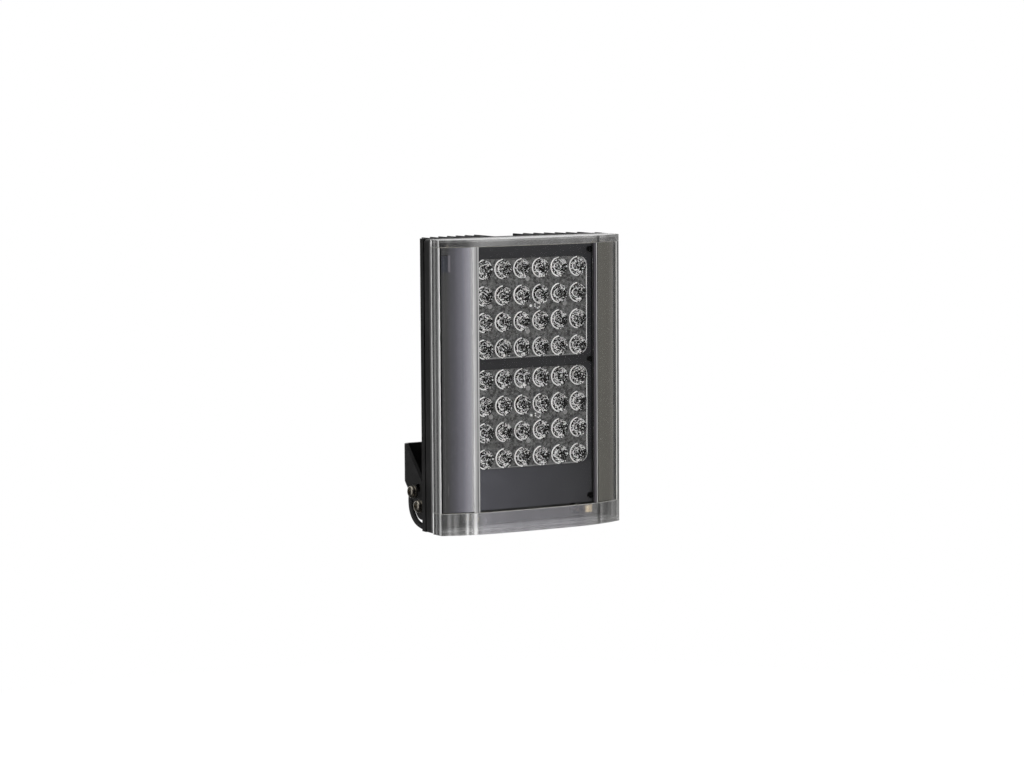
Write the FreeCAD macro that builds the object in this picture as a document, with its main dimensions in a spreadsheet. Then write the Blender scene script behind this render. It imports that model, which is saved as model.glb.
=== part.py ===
import FreeCAD, Part
import Sketcher
import math
import os

# Infrared illuminator for a wall: a die-cast finned head with two LED arrays behind a bowed
# clear cover, carried by a folded steel bracket on two pivot bolts and two lock bolts.
# Millimetres. X to the right, Y backwards into the wall, Z up. The origin lies on the wall,
# in the middle of the bracket's web.

doc = FreeCAD.newDocument("infrared_illuminator")
sheet = doc.addObject("Spreadsheet::Sheet", "Dims")

DIMENSIONS = [
    # whole object
    ("cover_width", 180.0),
    ("cover_height", 252.0),
    ("overall_depth", 98.5),
    ("web_below_middle", 71.7),
    # bowed clear cover
    ("bow_centre_radius", 900.0),
    ("bow_centre_half", 40.0),
    ("shoulder_inset", 1.0),
    ("shoulder_depth", 13.3),
    ("cover_rear", 26.4),
    ("cover_wall", 4.2),
    ("top_bar", 6.0),
    ("bottom_bar", 18.6),
    ("insert_thickness", 2.2),
    ("insert_gap", 0.1),
    ("insert_wrap_end", 25.0),
    ("channel_inner", 56.3),
    ("channel_outer", 61.8),
    ("channel_depth", 0.6),
    ("bar_groove_across", 63.0),
    ("bar_groove_width", 0.6),
    ("bar_groove_depth", 0.4),
    ("cover_boss_radius", 4.6),
    ("cover_boss_gap", 0.1),
    ("cover_screw_below", 7.1),
    ("cover_screw_under_top", 7.5),
    ("top_boss_room", 2.6),
    ("brass_radius", 3.0),
    ("brass_length", 9.0),
    ("brass_recess", 0.1),
    ("brass_tip_room", 0.3),
    # satin grey masks behind the two wings
    ("mask_gap", 0.15),
    ("mask_thickness", 1.2),
    ("mask_inner", 61.8),
    ("mask_lip_inner", 57.2),
    ("mask_lip_depth", 11.0),
    ("mask_end_gap", 0.8),
    ("mask_side_gap", 0.6),
    ("mark_across", 80.0),
    ("mark_line", 1.0),
    ("mark_reach", 7.0),
    ("mark_upper_top", 117.0),
    ("mark_upper_height", 17.0),
    ("mark_lower_top", -82.0),
    ("mark_lower_height", 11.0),
    ("mark_depth", 0.4),
    # black bezel round the two optics
    ("bezel_front", 14.5),
    ("bezel_thickness", 2.0),
    ("bezel_half", 63.0),
    ("bezel_end_gap", 0.5),
    ("bezel_corner", 2.0),
    ("bezel_rim_inset", 3.0),
    ("bezel_rim", 1.6),
    ("bezel_rim_rise", 2.0),
    ("bezel_gap", 0.3),
    # optics
    ("optic_front", 13.1),
    ("optic_plate", 2.5),
    ("optic_margin_side", 9.45),
    ("optic_margin_end", 8.8),
    ("optic_corner", 9.0),
    ("lens_pitch_across", 18.42),
    ("lens_pitch_up", 22.72),
    ("lens_rim_radius", 9.0),
    ("lens_tip_radius", 4.3),
    ("lens_length", 12.0),
    ("lens_belly", 0.8),
    ("lens_well_dome", 1.2),
    ("lens_well_radius", 3.4),
    ("lens_well_depth", 5.0),
    ("optic_leg_radius", 2.1),
    ("optic_overlap", 0.5),
    ("lens_ring_width", 0.7),
    ("lens_ring_rise", 0.5),
    ("module_under_top", 54.33),
    ("module_spacing", 94.6),
    # boards
    ("board_thickness", 1.6),
    ("board_inset", 1.2),
    ("board_corner", 3.0),
    ("screw_hole_gap", 0.2),
    ("led_room", 0.7),
    ("led_side", 3.4),
    ("led_height", 1.0),
    ("led_dome", 1.3),
    ("driver_board_width", 94.0),
    ("driver_board_height", 34.0),
    ("driver_over_bottom", 30.5),
    ("driver_standoff", 4.0),
    ("driver_screw_inset", 5.0),
    ("driver_corner", 2.0),
    ("coil_radius", 7.5),
    ("coil_height", 7.0),
    ("coil_across", -24.0),
    ("can_radius", 4.0),
    ("can_height", 9.5),
    ("can_pitch", 9.0),
    ("can_up", 5.0),
    ("block_height", 6.0),
    ("regulator_width", 26.0),
    ("regulator_depth", 8.0),
    ("terminal_across", 20.0),
    ("terminal_width", 14.0),
    ("terminal_height", 16.0),
    # gasket
    ("gasket_thickness", 1.0),
    ("gasket_width", 2.2),
    ("gasket_inset", 0.6),
    # heatsink casting
    ("flange_depth", 10.6),
    ("flange_corner", 3.0),
    ("groove_depth", 4.0),
    ("groove_inset", 2.8),
    ("tray_depth", 6.6),
    ("tray_wall", 4.2),
    ("tray_corner", 4.0),
    ("island_inset", 0.8),
    ("island_corner", 3.0),
    ("fin_first", 19.55),
    ("fin_pitch", 9.73),
    ("fin_thickness", 2.0),
    ("fin_reach", 77.0),
    ("fin_bow_radius", 233.0),
    ("rail_middle", 87.2),
    ("rail_thickness", 3.0),
    ("rail_end", 49.5),
    ("post_radius", 2.8),
    ("screw_post_radius", 5.0),
    ("entry_boss_half", 13.5),
    ("entry_boss_top", -62.0),
    ("entry_boss_height", 12.0),
    ("entry_boss_rear", 74.0),
    ("ear_thickness", 9.2),
    ("ear_radius", 9.2),
    # wall bracket
    ("bracket_inner", 79.0),
    ("bracket_thickness", 3.0),
    ("bend_inner_radius", 5.0),
    ("web_height", 33.0),
    ("arm_upper_line", 145.7),
    ("arm_lower_line", 180.3),
    ("pivot_depth", 62.25),
    ("pivot_height", -106.45),
    ("lobe_radius", 12.0),
    ("lock_radius", 16.2),
    ("lock_angle", 45.0),
    ("tilt_up", 5.0),
    ("tilt_down", 30.0),
    ("wall_hole_spacing", 80.0),
    ("wall_hole_radius", 3.3),
    ("centre_hole_radius", 5.25),
    # M6 bolts and washers of the bracket
    ("bolt_radius", 3.0),
    ("bolt_fit", 0.06),
    ("thread_gap", 0.03),
    ("slot_gap", 0.3),
    ("slide_gap", 0.05),
    ("bolt_head_radius", 5.2),
    ("bolt_head_height", 4.0),
    ("bolt_grip", 9.0),
    ("bolt_socket", 2.3),
    ("bolt_socket_depth", 2.2),
    ("washer_radius", 6.0),
    ("washer_thickness", 1.6),
    # small screws
    ("bezel_screw_across", 58.4),
    ("bezel_screw_head", 2.6),
    ("bezel_screw_rise", 2.0),
    ("bezel_screw_radius", 1.25),
    ("bezel_screw_length", 8.0),
    ("bezel_screw_under_top", 6.0),
    ("bezel_screw_over_bottom", 6.4),
    ("cover_screw_radius", 2.0),
    ("cover_screw_head", 3.4),
    ("cover_screw_rise", 3.6),
    ("board_screw_radius", 1.25),
    ("board_screw_head", 2.2),
    ("board_screw_inset", 2.5),
    ("board_screw_rise", 1.6),
    ("board_screw_length", 4.0),
    # cable gland and lead
    ("gland_radius", 7.5),
    ("gland_body_height", 6.0),
    ("gland_nut_height", 9.0),
    ("gland_depth", 60.0),
    ("gland_bore_gap", 0.6),
    ("gland_nut_inset", 0.4),
    ("gland_nut_round", 3.15),
    ("lead_diameter", 5.0),
    ("hank_half", 15.0),
    ("hank_run", 75.0),
    ("hank_rear", 81.0),
    ("hank_depth", 35.2),
    ("hank_lift", 0.1),
    ("tie_gap", 0.05),
    ("tie_thickness", 0.8),
    ("tie_width", 12.0),
    ("core_length", 9.0),
    ("core_radius", 0.9),
]

for row, (alias, value) in enumerate(DIMENSIONS, start=1):
    sheet.set(f"A{row}", alias)
    sheet.set(f"B{row}", str(value))
    sheet.setAlias(f"B{row}", alias)
doc.recompute()


class Size:
    """A number kept together with the sheet expression that gives it."""

    def __init__(self, value, text=None):
        self.value = float(value)
        self.text = text if text else f"({self.value!r})"

    def _join(self, other, sign, value):
        other_text = other.text if isinstance(other, Size) else f"({float(other)!r})"
        return Size(value, f"({self.text} {sign} {other_text})")

    def __add__(self, other):
        return self._join(other, "+", self.value + float(other))

    def __sub__(self, other):
        return self._join(other, "-", self.value - float(other))

    def __mul__(self, other):
        return self._join(other, "*", self.value * float(other))

    def __truediv__(self, other):
        return self._join(other, "/", self.value / float(other))

    def __radd__(self, other):
        return Size(other) + self

    def __rsub__(self, other):
        return Size(other) - self

    def __rmul__(self, other):
        return Size(other) * self

    def __neg__(self):
        return Size(0) - self

    def __float__(self):
        return self.value


def root(size):
    return Size(math.sqrt(size.value), f"sqrt({size.text})")


def cosine(degrees):
    return Size(math.cos(math.radians(degrees.value)), f"cos({degrees.text} * 1 deg)")


def sine(degrees):
    return Size(math.sin(math.radians(degrees.value)), f"sin({degrees.text} * 1 deg)")


class Dims:
    """Named dimensions of the sheet as Size values."""

    def __getattr__(self, alias):
        return Size(getattr(sheet, alias), f"Dims.{alias}")


dim = Dims()


def behind(depth):
    """Y of a plane that lies this deep behind the front of the cover."""
    return depth - dim.overall_depth


def above(height):
    """Z of a plane that lies this high above the middle of the cover."""
    return height + dim.web_below_middle


# Sketch and feature helpers

def new_body(label, many=False):
    body = doc.addObject("PartDesign::Body", label)
    body.Label = label
    body.AllowCompound = many
    return body


def origin_item(body, role):
    for item in body.Origin.OriginFeatures:
        if item.Role == role:
            return item
    raise ValueError(role)


def new_sketch(body, plane, offset):
    """Sketch parallel to an origin plane: plan at Z, front at Y or side at X."""
    planes = {"plan": ("XY_Plane", 1), "front": ("XZ_Plane", -1), "side": ("YZ_Plane", 1)}
    role, sign = planes[plane]
    sketch = body.newObject("Sketcher::SketchObject", f"{body.Name}_{plane}")
    sketch.AttachmentSupport = [(origin_item(body, role), "")]
    sketch.MapMode = "FlatFace"
    shift = Size(offset) if not isinstance(offset, Size) else offset
    shift = shift * sign
    sketch.AttachmentOffset = FreeCAD.Placement(
        FreeCAD.Vector(0, 0, shift.value), FreeCAD.Rotation())
    sketch.setExpression("AttachmentOffset.Base.z", shift.text)
    return sketch


def pin_point(sketch, geometry, position, point):
    """Hold one point of the sketch at its two sizes."""
    for kind, name, value in (("DistanceX", "x", point[0]), ("DistanceY", "y", point[1])):
        value = value if isinstance(value, Size) else Size(value)
        if value.value == 0 and value.text == "(0.0)":
            axis = -2 if kind == "DistanceX" else -1
            sketch.addConstraint(Sketcher.Constraint("PointOnObject", geometry, position, axis))
            continue
        index = sketch.addConstraint(
            Sketcher.Constraint(kind, -1, 1, geometry, position, value.value))
        label = f"{name}{geometry}_{position}"
        sketch.renameConstraint(index, label)
        sketch.setExpression(f"Constraints.{label}", value.text)


def arc_middle(start, end, radius, side):
    """Middle point of the arc that bulges to the left (+1) or right (-1) of its chord."""
    dx, dy = end[0] - start[0], end[1] - start[1]
    chord = math.hypot(dx, dy)
    rise = radius - math.sqrt(max(radius * radius - chord * chord / 4, 0))
    return ((start[0] + end[0]) / 2 - side * rise * dy / chord,
            (start[1] + end[1]) / 2 + side * rise * dx / chord)


def add_outline(sketch, corners):
    """Closed outline. A corner is (x, y), or (x, y, radius, side) where an arc leads to it."""
    ends = []
    for index, corner in enumerate(corners):
        before = corners[index - 1]
        start = (float(before[0]), float(before[1]))
        end = (float(corner[0]), float(corner[1]))
        start_vector = FreeCAD.Vector(start[0], start[1], 0)
        end_vector = FreeCAD.Vector(end[0], end[1], 0)
        if len(corner) == 2:
            number = sketch.addGeometry(Part.LineSegment(start_vector, end_vector))
            ends.append((number, 1, 2))
            continue
        middle = arc_middle(start, end, float(corner[2]), corner[3])
        arc = Part.Arc(start_vector, FreeCAD.Vector(middle[0], middle[1], 0), end_vector)
        number = sketch.addGeometry(arc)
        swapped = sketch.getPoint(number, 1).distanceToPoint(start_vector) > 1e-6
        ends.append((number, 2, 1) if swapped else (number, 1, 2))
    for index, corner in enumerate(corners):
        number, start_position, end_position = ends[index]
        following = ends[(index + 1) % len(ends)]
        sketch.addConstraint(Sketcher.Constraint(
            "Coincident", number, end_position, following[0], following[1]))
        pin_point(sketch, number, end_position, corner)
        if len(corner) == 4:
            radius = corner[2] if isinstance(corner[2], Size) else Size(corner[2])
            place = sketch.addConstraint(Sketcher.Constraint("Radius", number, radius.value))
            label = f"radius{number}"
            sketch.renameConstraint(place, label)
            sketch.setExpression(f"Constraints.{label}", radius.text)


def add_rectangle(sketch, left, low, right, high, corner=None):
    """Rectangle, with rounded corners where a corner radius is given."""
    if corner is None:
        add_outline(sketch, [(left, low), (right, low), (right, high), (left, high)])
        return
    add_outline(sketch, [
        (right - corner, low), (right, low + corner, corner, -1),
        (right, high - corner), (right - corner, high, corner, -1),
        (left + corner, high), (left, high - corner, corner, -1),
        (left, low + corner), (left + corner, low, corner, -1)])


def add_circle(sketch, centre, radius):
    middle = FreeCAD.Vector(float(centre[0]), float(centre[1]), 0)
    number = sketch.addGeometry(Part.Circle(middle, FreeCAD.Vector(0, 0, 1), float(radius)))
    pin_point(sketch, number, 3, centre)
    place = sketch.addConstraint(Sketcher.Constraint("Radius", number, float(radius)))
    label = f"radius{number}"
    sketch.renameConstraint(place, label)
    sketch.setExpression(f"Constraints.{label}", radius.text)


def add_hexagon(sketch, centre, radius):
    """Regular hexagon, radius across its corners."""
    half = radius * 0.5
    rise = radius * math.sqrt(0.75)
    across, up = centre
    add_outline(sketch, [
        (across + radius, up), (across + half, up + rise), (across - half, up + rise),
        (across - radius, up), (across - half, up - rise), (across + half, up - rise)])


def extrude(body, sketch, length, kind, back, symmetric):
    feature = body.newObject(f"PartDesign::{kind}", f"{body.Name}_{kind}")
    feature.Profile = sketch
    feature.Length = float(length)
    feature.setExpression("Length", length.text)
    feature.Reversed = back
    if symmetric:
        feature.SideType = "Symmetric"
    doc.recompute()
    return feature


def pad(body, sketch, length, back=False, symmetric=False):
    return extrude(body, sketch, length, "Pad", back, symmetric)


def pocket(body, sketch, length, back=False, symmetric=False):
    return extrude(body, sketch, length, "Pocket", back, symmetric)


def mirror(body, features, role):
    feature = body.newObject("PartDesign::Mirrored", f"{body.Name}_mirror")
    feature.Originals = features
    feature.MirrorPlane = (origin_item(body, role), [""])
    body.Tip = feature
    doc.recompute()


def grid(body, features, across, up, columns, rows):
    """Copies of features in columns along X and rows along Z."""
    feature = body.newObject("PartDesign::LinearPattern", f"{body.Name}_grid")
    feature.Originals = features
    feature.Direction = (origin_item(body, "X_Axis"), [""])
    feature.Mode = "Extent"
    feature.Length = float(across * (columns - 1))
    feature.setExpression("Length", (across * (columns - 1)).text)
    feature.Occurrences = columns
    if rows > 1:
        feature.Direction2 = (origin_item(body, "Z_Axis"), [""])
        feature.Mode2 = "Extent"
        feature.Length2 = float(up * (rows - 1))
        feature.setExpression("Length2", (up * (rows - 1)).text)
        feature.Occurrences2 = rows
    body.Tip = feature
    doc.recompute()
    return feature


def edges_where(feature, test):
    """Names of the edges of a feature that pass a test on the edge."""
    found = []
    for number, edge in enumerate(feature.Shape.Edges, start=1):
        if test(edge):
            found.append(f"Edge{number}")
    return found


def soften(body, base, names, radius):
    """Round the named edges of a feature."""
    feature = body.newObject("PartDesign::Fillet", f"{body.Name}_fillet")
    feature.Base = (base, names)
    feature.Radius = float(radius)
    feature.setExpression("Radius", radius.text)
    body.Tip = feature
    doc.recompute()


# Driving places shared by several pieces

half_width = dim.cover_width / 2
half_height = dim.cover_height / 2
insert_top = half_height - dim.top_bar
insert_bottom = dim.bottom_bar - half_height
optic_half_across = dim.lens_pitch_across * 2.5 + dim.optic_margin_side
optic_half_up = dim.lens_pitch_up * 1.5 + dim.optic_margin_end
board_front = dim.optic_front + dim.lens_length + dim.led_room
heatsink_front = board_front + dim.board_thickness
tray_floor = heatsink_front + dim.tray_depth
fin_root = heatsink_front + dim.flange_depth + dim.groove_depth
bezel_back = dim.bezel_front + dim.bezel_thickness
bezel_top = insert_top - dim.bezel_end_gap
bezel_bottom = insert_bottom + dim.bezel_end_gap
module_upper = insert_top - dim.module_under_top
module_lower = module_upper - dim.module_spacing
module_middle = (module_upper + module_lower) / 2
driver_middle = dim.driver_over_bottom - half_height
bezel_screw_heights = [insert_top - dim.bezel_screw_under_top, module_middle,
                       insert_bottom + dim.bezel_screw_over_bottom]
cover_screw_places = [
    (dim.fin_first + dim.fin_pitch * 3.5, insert_bottom - dim.cover_screw_below),
    (dim.fin_first + dim.fin_pitch * 5.5, half_height - dim.cover_screw_under_top)]
driver_screw_across = dim.driver_board_width / 2 - dim.driver_screw_inset
driver_screw_up = dim.driver_board_height / 2 - dim.driver_screw_inset
board_screw_across = optic_half_across - dim.board_inset - dim.board_screw_inset
board_screw_up = optic_half_up - dim.board_inset - dim.board_screw_inset
pivot_y = behind(dim.pivot_depth)
pivot_z = above(dim.pivot_height)
lock_y = pivot_y + dim.lock_radius * cosine(dim.lock_angle)
lock_z = pivot_z + dim.lock_radius * sine(dim.lock_angle)
bracket_outer = dim.bracket_inner + dim.bracket_thickness
entry_boss_bottom = dim.entry_boss_top - dim.entry_boss_height
gland_exit = entry_boss_bottom - dim.gland_body_height - dim.gland_nut_height


# The bow of the cover in plan: a shallow middle arc and two tighter arcs tangent to it

bow_rise = dim.bow_centre_radius - root(
    dim.bow_centre_radius * dim.bow_centre_radius - dim.bow_centre_half * dim.bow_centre_half)
bow_lean = dim.bow_centre_half / dim.bow_centre_radius
bow_level = root(1 - bow_lean * bow_lean)
shoulder_half = half_width - dim.shoulder_inset
chord_across = shoulder_half - dim.bow_centre_half
chord_back = dim.shoulder_depth - bow_rise
bow_side_radius = (chord_across * chord_across + chord_back * chord_back) / (
    (chord_back * bow_level - chord_across * bow_lean) * 2)
side_centre_across = dim.bow_centre_half - bow_side_radius * bow_lean
side_centre_depth = bow_rise + bow_side_radius * bow_level


def bow_depth(offset, across):
    """Depth of the side arc, offset inwards, at a distance from the middle."""
    reach = across - side_centre_across
    arm = bow_side_radius - offset
    return side_centre_depth - root(arm * arm - reach * reach)


def bow_front(offset, across):
    """Corners of the bowed front from left to right, offset inwards by a wall."""
    join_across = dim.bow_centre_half - offset * bow_lean
    join_depth = bow_rise + offset * bow_level
    side = bow_side_radius - offset
    return [
        (-across, behind(bow_depth(offset, across))),
        (-join_across, behind(join_depth), side, -1),
        (join_across, behind(join_depth), dim.bow_centre_radius - offset, -1),
        (across, behind(bow_depth(offset, across)), side, -1)]


def cover_outline(rear):
    """Outer outline of the cover in plan, with its drafted sides."""
    return bow_front(Size(0), shoulder_half) + [
        (half_width, behind(rear)), (-half_width, behind(rear))]


# Clear front: the sealed cover and the lens insert that clips over it

def make_front_cover():
    body = new_body("front_cover")
    block = new_sketch(body, "plan", above(-half_height))
    add_outline(block, cover_outline(dim.cover_rear))
    pad(body, block, dim.cover_height)
    hollow = new_sketch(body, "plan", above(dim.cover_wall - half_height))
    inner = half_width - dim.cover_wall
    add_outline(hollow, bow_front(dim.cover_wall, inner) + [
        (inner, behind(dim.cover_rear + 1)), (-inner, behind(dim.cover_rear + 1))])
    pocket(body, hollow, dim.cover_height - dim.cover_wall * 2, back=True)
    seat = new_sketch(body, "plan", above(insert_bottom))
    depth = dim.insert_thickness
    keep = half_width - depth
    add_outline(seat, bow_front(depth, keep) + [
        (keep, behind(dim.cover_rear + 2)), (-keep, behind(dim.cover_rear + 2))])
    add_rectangle(seat, -half_width - 5, behind(-5), half_width + 5, behind(dim.cover_rear + 5))
    pocket(body, seat, insert_top - insert_bottom, back=True)
    for across, up in cover_screw_places:
        boss = new_sketch(body, "front", behind(heatsink_front - dim.cover_boss_gap))
        add_circle(boss, (across, above(up)), dim.cover_boss_radius)
        add_circle(boss, (-across, above(up)), dim.cover_boss_radius)
        if up.value > 0:
            front = bow_depth(dim.cover_wall + dim.mask_gap + dim.mask_thickness, across)
            front = front + dim.top_boss_room
        else:
            front = bow_depth(dim.cover_wall, across) - 0.4
        pad(body, boss, heatsink_front - dim.cover_boss_gap - front)
        hole = new_sketch(body, "front", behind(heatsink_front + 1))
        add_circle(hole, (across, above(up)), dim.brass_radius)
        add_circle(hole, (-across, above(up)), dim.brass_radius)
        pocket(body, hole, dim.brass_length + dim.brass_tip_room + 1, back=True)
    grooves = new_sketch(body, "plan", above(-half_height))
    for side in (1, -1):
        add_channel(grooves, side, dim.bar_groove_across - dim.bar_groove_width / 2,
                    dim.bar_groove_across + dim.bar_groove_width / 2, dim.bar_groove_depth)
    pocket(body, grooves, dim.bottom_bar, back=True)


def add_channel(sketch, side, inner, outer, depth):
    """Outline in plan of a shallow channel in the bowed front."""
    add_outline(sketch, [
        (outer * side, behind(-5)), (inner * side, behind(-5)),
        (inner * side, behind(bow_depth(depth, inner))),
        (outer * side, behind(bow_depth(depth, outer)), bow_side_radius - depth, -side)])


def make_lens_insert():
    body = new_body("lens_insert")
    gap = dim.insert_gap
    outline = new_sketch(body, "plan", above(insert_bottom + gap))
    add_outline(outline, cover_outline(dim.insert_wrap_end))
    pad(body, outline, insert_top - insert_bottom - gap * 2)
    inside = new_sketch(body, "plan", above(insert_bottom))
    wall = dim.insert_thickness - gap
    inner = half_width - wall
    add_outline(inside, bow_front(wall, inner) + [
        (inner, behind(dim.cover_rear + 2)), (-inner, behind(dim.cover_rear + 2))])
    pocket(body, inside, insert_top - insert_bottom, back=True)
    channels = new_sketch(body, "plan", above(insert_bottom))
    for side in (1, -1):
        add_channel(channels, side, dim.channel_inner, dim.channel_outer, dim.channel_depth)
    pocket(body, channels, insert_top - insert_bottom, back=True)


def make_wing_mask(label, side):
    body = new_body(label)
    sketch = new_sketch(body, "plan", above(insert_bottom + dim.mask_end_gap))
    outer = half_width - dim.cover_wall - dim.mask_side_gap
    face = dim.cover_wall + dim.mask_gap
    back = face + dim.mask_thickness
    lip = dim.mask_lip_inner
    inner = dim.mask_inner
    slant = dim.mask_thickness * 0.6
    corners = [
        (outer * side, behind(bow_depth(face, outer))),
        (inner * side, behind(bow_depth(face, inner)), bow_side_radius - face, side),
        (lip * side, behind(dim.mask_lip_depth)),
        ((lip + slant) * side, behind(dim.mask_lip_depth + dim.mask_thickness)),
        ((inner + slant) * side, behind(bow_depth(back, inner + slant))),
        (outer * side, behind(bow_depth(back, outer)), bow_side_radius - back, -side)]
    add_outline(sketch, corners)
    pad(body, sketch, insert_top - insert_bottom - dim.mask_end_gap * 2)
    for reach, top, height in (
            (dim.mark_line, dim.mark_upper_top, dim.mark_upper_height),
            (dim.mark_reach, dim.mark_upper_top, dim.mark_line),
            (dim.mark_line, dim.mark_lower_top, dim.mark_lower_height)):
        mark = new_sketch(body, "plan", above(top - height))
        floor = bow_depth(face, dim.mark_across) + dim.mark_depth
        far_floor = bow_depth(face, dim.mark_across + reach) + dim.mark_depth
        add_outline(mark, [
            (dim.mark_across * side, behind(0)), ((dim.mark_across + reach) * side, behind(0)),
            ((dim.mark_across + reach) * side, behind(far_floor)),
            (dim.mark_across * side, behind(floor))])
        pocket(body, mark, height, back=True)


def make_cover_inserts():
    body = new_body("cover_inserts", many=True)
    tube = new_sketch(body, "front",
                      behind(heatsink_front - dim.cover_boss_gap - dim.brass_recess))
    for across, up in cover_screw_places:
        for side in (1, -1):
            add_circle(tube, (across * side, above(up)), dim.brass_radius - dim.thread_gap)
            add_circle(tube, (across * side, above(up)),
                       dim.cover_screw_radius + dim.thread_gap)
    pad(body, tube, dim.brass_length)


# Optics, LEDs and boards

def make_bezel():
    body = new_body("bezel")
    plate = new_sketch(body, "front", behind(bezel_back))
    add_rectangle(plate, -dim.bezel_half, above(bezel_bottom), dim.bezel_half, above(bezel_top),
                  dim.bezel_corner)
    pad(body, plate, dim.bezel_thickness)
    rim = new_sketch(body, "front", behind(dim.bezel_front))
    for side in (1, -1):
        edge = dim.bezel_half * side
        inner = edge - dim.bezel_rim * side
        left, right = (inner, edge) if side > 0 else (edge, inner)
        add_rectangle(rim, left, above(bezel_bottom + dim.bezel_rim_inset),
                      right, above(bezel_top - dim.bezel_rim_inset))
    pad(body, rim, dim.bezel_rim_rise)
    hole = new_sketch(body, "front", behind(bezel_back + 1))
    across = optic_half_across + dim.bezel_gap
    rise = optic_half_up + dim.bezel_gap
    for middle in (module_upper, module_lower):
        add_rectangle(hole, -across, above(middle - rise), across, above(middle + rise),
                      dim.optic_corner + dim.bezel_gap)
    for height in bezel_screw_heights:
        for side in (1, -1):
            add_circle(hole, (dim.bezel_screw_across * side, above(height)),
                       dim.bezel_screw_radius + dim.screw_hole_gap)
    pocket(body, hole, dim.bezel_thickness + 3, back=True)


def make_optic(label, middle):
    """Clear moulding: one plate, its collimator lenses behind it and its feet on the board."""
    body = new_body(label)
    plate = new_sketch(body, "front", behind(dim.optic_front + dim.optic_plate))
    add_rectangle(plate, -optic_half_across, above(middle - optic_half_up),
                  optic_half_across, above(middle + optic_half_up), dim.optic_corner)
    pad(body, plate, dim.optic_plate)
    plate_back = dim.optic_front + dim.optic_plate - dim.optic_overlap
    feet = new_sketch(body, "front", behind(plate_back))
    for across, up in ((0, 1), (0, -1), (2, 0), (-2, 0)):
        add_circle(feet, (dim.lens_pitch_across * across if across else Size(0),
                          above(middle + dim.lens_pitch_up * up)), dim.optic_leg_radius)
    pad(body, feet, board_front - plate_back, back=True)
    lens_x = dim.lens_pitch_across * -2.5
    lens_z = middle - dim.lens_pitch_up * 1.5
    cone = new_sketch(body, "plan", above(lens_z))
    tip = dim.optic_front + dim.lens_length
    belly = (dim.lens_rim_radius + dim.lens_tip_radius) / 2 + dim.lens_belly
    add_outline(cone, [
        (lens_x, behind(plate_back)),
        (lens_x + dim.lens_rim_radius, behind(plate_back)),
        (lens_x + belly, behind((plate_back + tip) / 2)),
        (lens_x + dim.lens_tip_radius, behind(tip)),
        (lens_x, behind(tip))])
    solid = body.newObject("PartDesign::Revolution", f"{label}_cone")
    solid.Profile = cone
    turn_axis(cone, solid, lens_x)
    well = new_sketch(body, "plan", above(lens_z))
    add_outline(well, [
        (lens_x, behind(dim.optic_front - 1)),
        (lens_x + dim.lens_well_radius + 0.4, behind(dim.optic_front - 1)),
        (lens_x + dim.lens_well_radius, behind(dim.optic_front + dim.lens_well_depth)),
        (lens_x, behind(dim.optic_front + dim.lens_well_depth - dim.lens_well_dome))])
    bore = body.newObject("PartDesign::Groove", f"{label}_well")
    bore.Profile = well
    turn_axis(well, bore, lens_x)
    seat = new_sketch(body, "front", behind(tip + 0.5))
    add_circle(seat, (lens_x, above(lens_z)), dim.led_side * 0.8)
    hollow = pocket(body, seat, dim.led_height + 2.6, back=True)
    ring = new_sketch(body, "front", behind(dim.optic_front + dim.optic_overlap))
    add_circle(ring, (lens_x, above(lens_z)), dim.lens_rim_radius)
    add_circle(ring, (lens_x, above(lens_z)), dim.lens_rim_radius - dim.lens_ring_width)
    rim = pad(body, ring, dim.lens_ring_rise + dim.optic_overlap)
    grid(body, [solid, bore, hollow, rim], dim.lens_pitch_across, dim.lens_pitch_up, 6, 4)


def turn_axis(sketch, feature, across):
    """Revolve a plan sketch round a line along Y at this distance from the middle."""
    line = sketch.addGeometry(Part.LineSegment(
        FreeCAD.Vector(float(across), -20, 0), FreeCAD.Vector(float(across), -60, 0)), True)
    sketch.addConstraint(Sketcher.Constraint("Vertical", line))
    pin_point(sketch, line, 1, (across, Size(-20.0)))
    place = sketch.addConstraint(Sketcher.Constraint("Distance", line, 40.0))
    sketch.renameConstraint(place, "axis_length")
    feature.ReferenceAxis = (sketch, ["Axis0"])
    feature.Angle = 360
    doc.recompute()


def make_led_board(label, middle):
    body = new_body(label)
    board = new_sketch(body, "front", behind(heatsink_front))
    across = optic_half_across - dim.board_inset
    rise = optic_half_up - dim.board_inset
    add_rectangle(board, -across, above(middle - rise), across, above(middle + rise),
                  dim.board_corner)
    for side in (1, -1):
        for end in (1, -1):
            add_circle(board, (board_screw_across * side, above(middle + board_screw_up * end)),
                       dim.board_screw_radius + dim.screw_hole_gap)
    pad(body, board, dim.board_thickness)


def make_leds(label, middle):
    body = new_body(label, many=True)
    lens_x = dim.lens_pitch_across * -2.5
    lens_z = middle - dim.lens_pitch_up * 1.5
    chip = new_sketch(body, "front", behind(board_front))
    half = dim.led_side / 2
    add_rectangle(chip, lens_x - half, above(lens_z - half), lens_x + half, above(lens_z + half))
    base = pad(body, chip, dim.led_height)
    dome = new_sketch(body, "front", behind(board_front - dim.led_height + 0.1))
    add_circle(dome, (lens_x, above(lens_z)), dim.led_dome)
    cap = pad(body, dome, dim.led_dome * 0.8)
    grid(body, [base, cap], dim.lens_pitch_across, dim.lens_pitch_up, 6, 4)


def make_driver_board():
    body = new_body("driver_board")
    board = new_sketch(body, "front", behind(tray_floor - dim.driver_standoff))
    across = dim.driver_board_width / 2
    rise = dim.driver_board_height / 2
    middle = driver_middle
    add_rectangle(board, -across, above(middle - rise), across, above(middle + rise),
                  dim.driver_corner)
    for side in (1, -1):
        for end in (1, -1):
            add_circle(board, (driver_screw_across * side, above(middle + driver_screw_up * end)),
                       dim.board_screw_radius + dim.screw_hole_gap)
    pad(body, board, dim.board_thickness)


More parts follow.
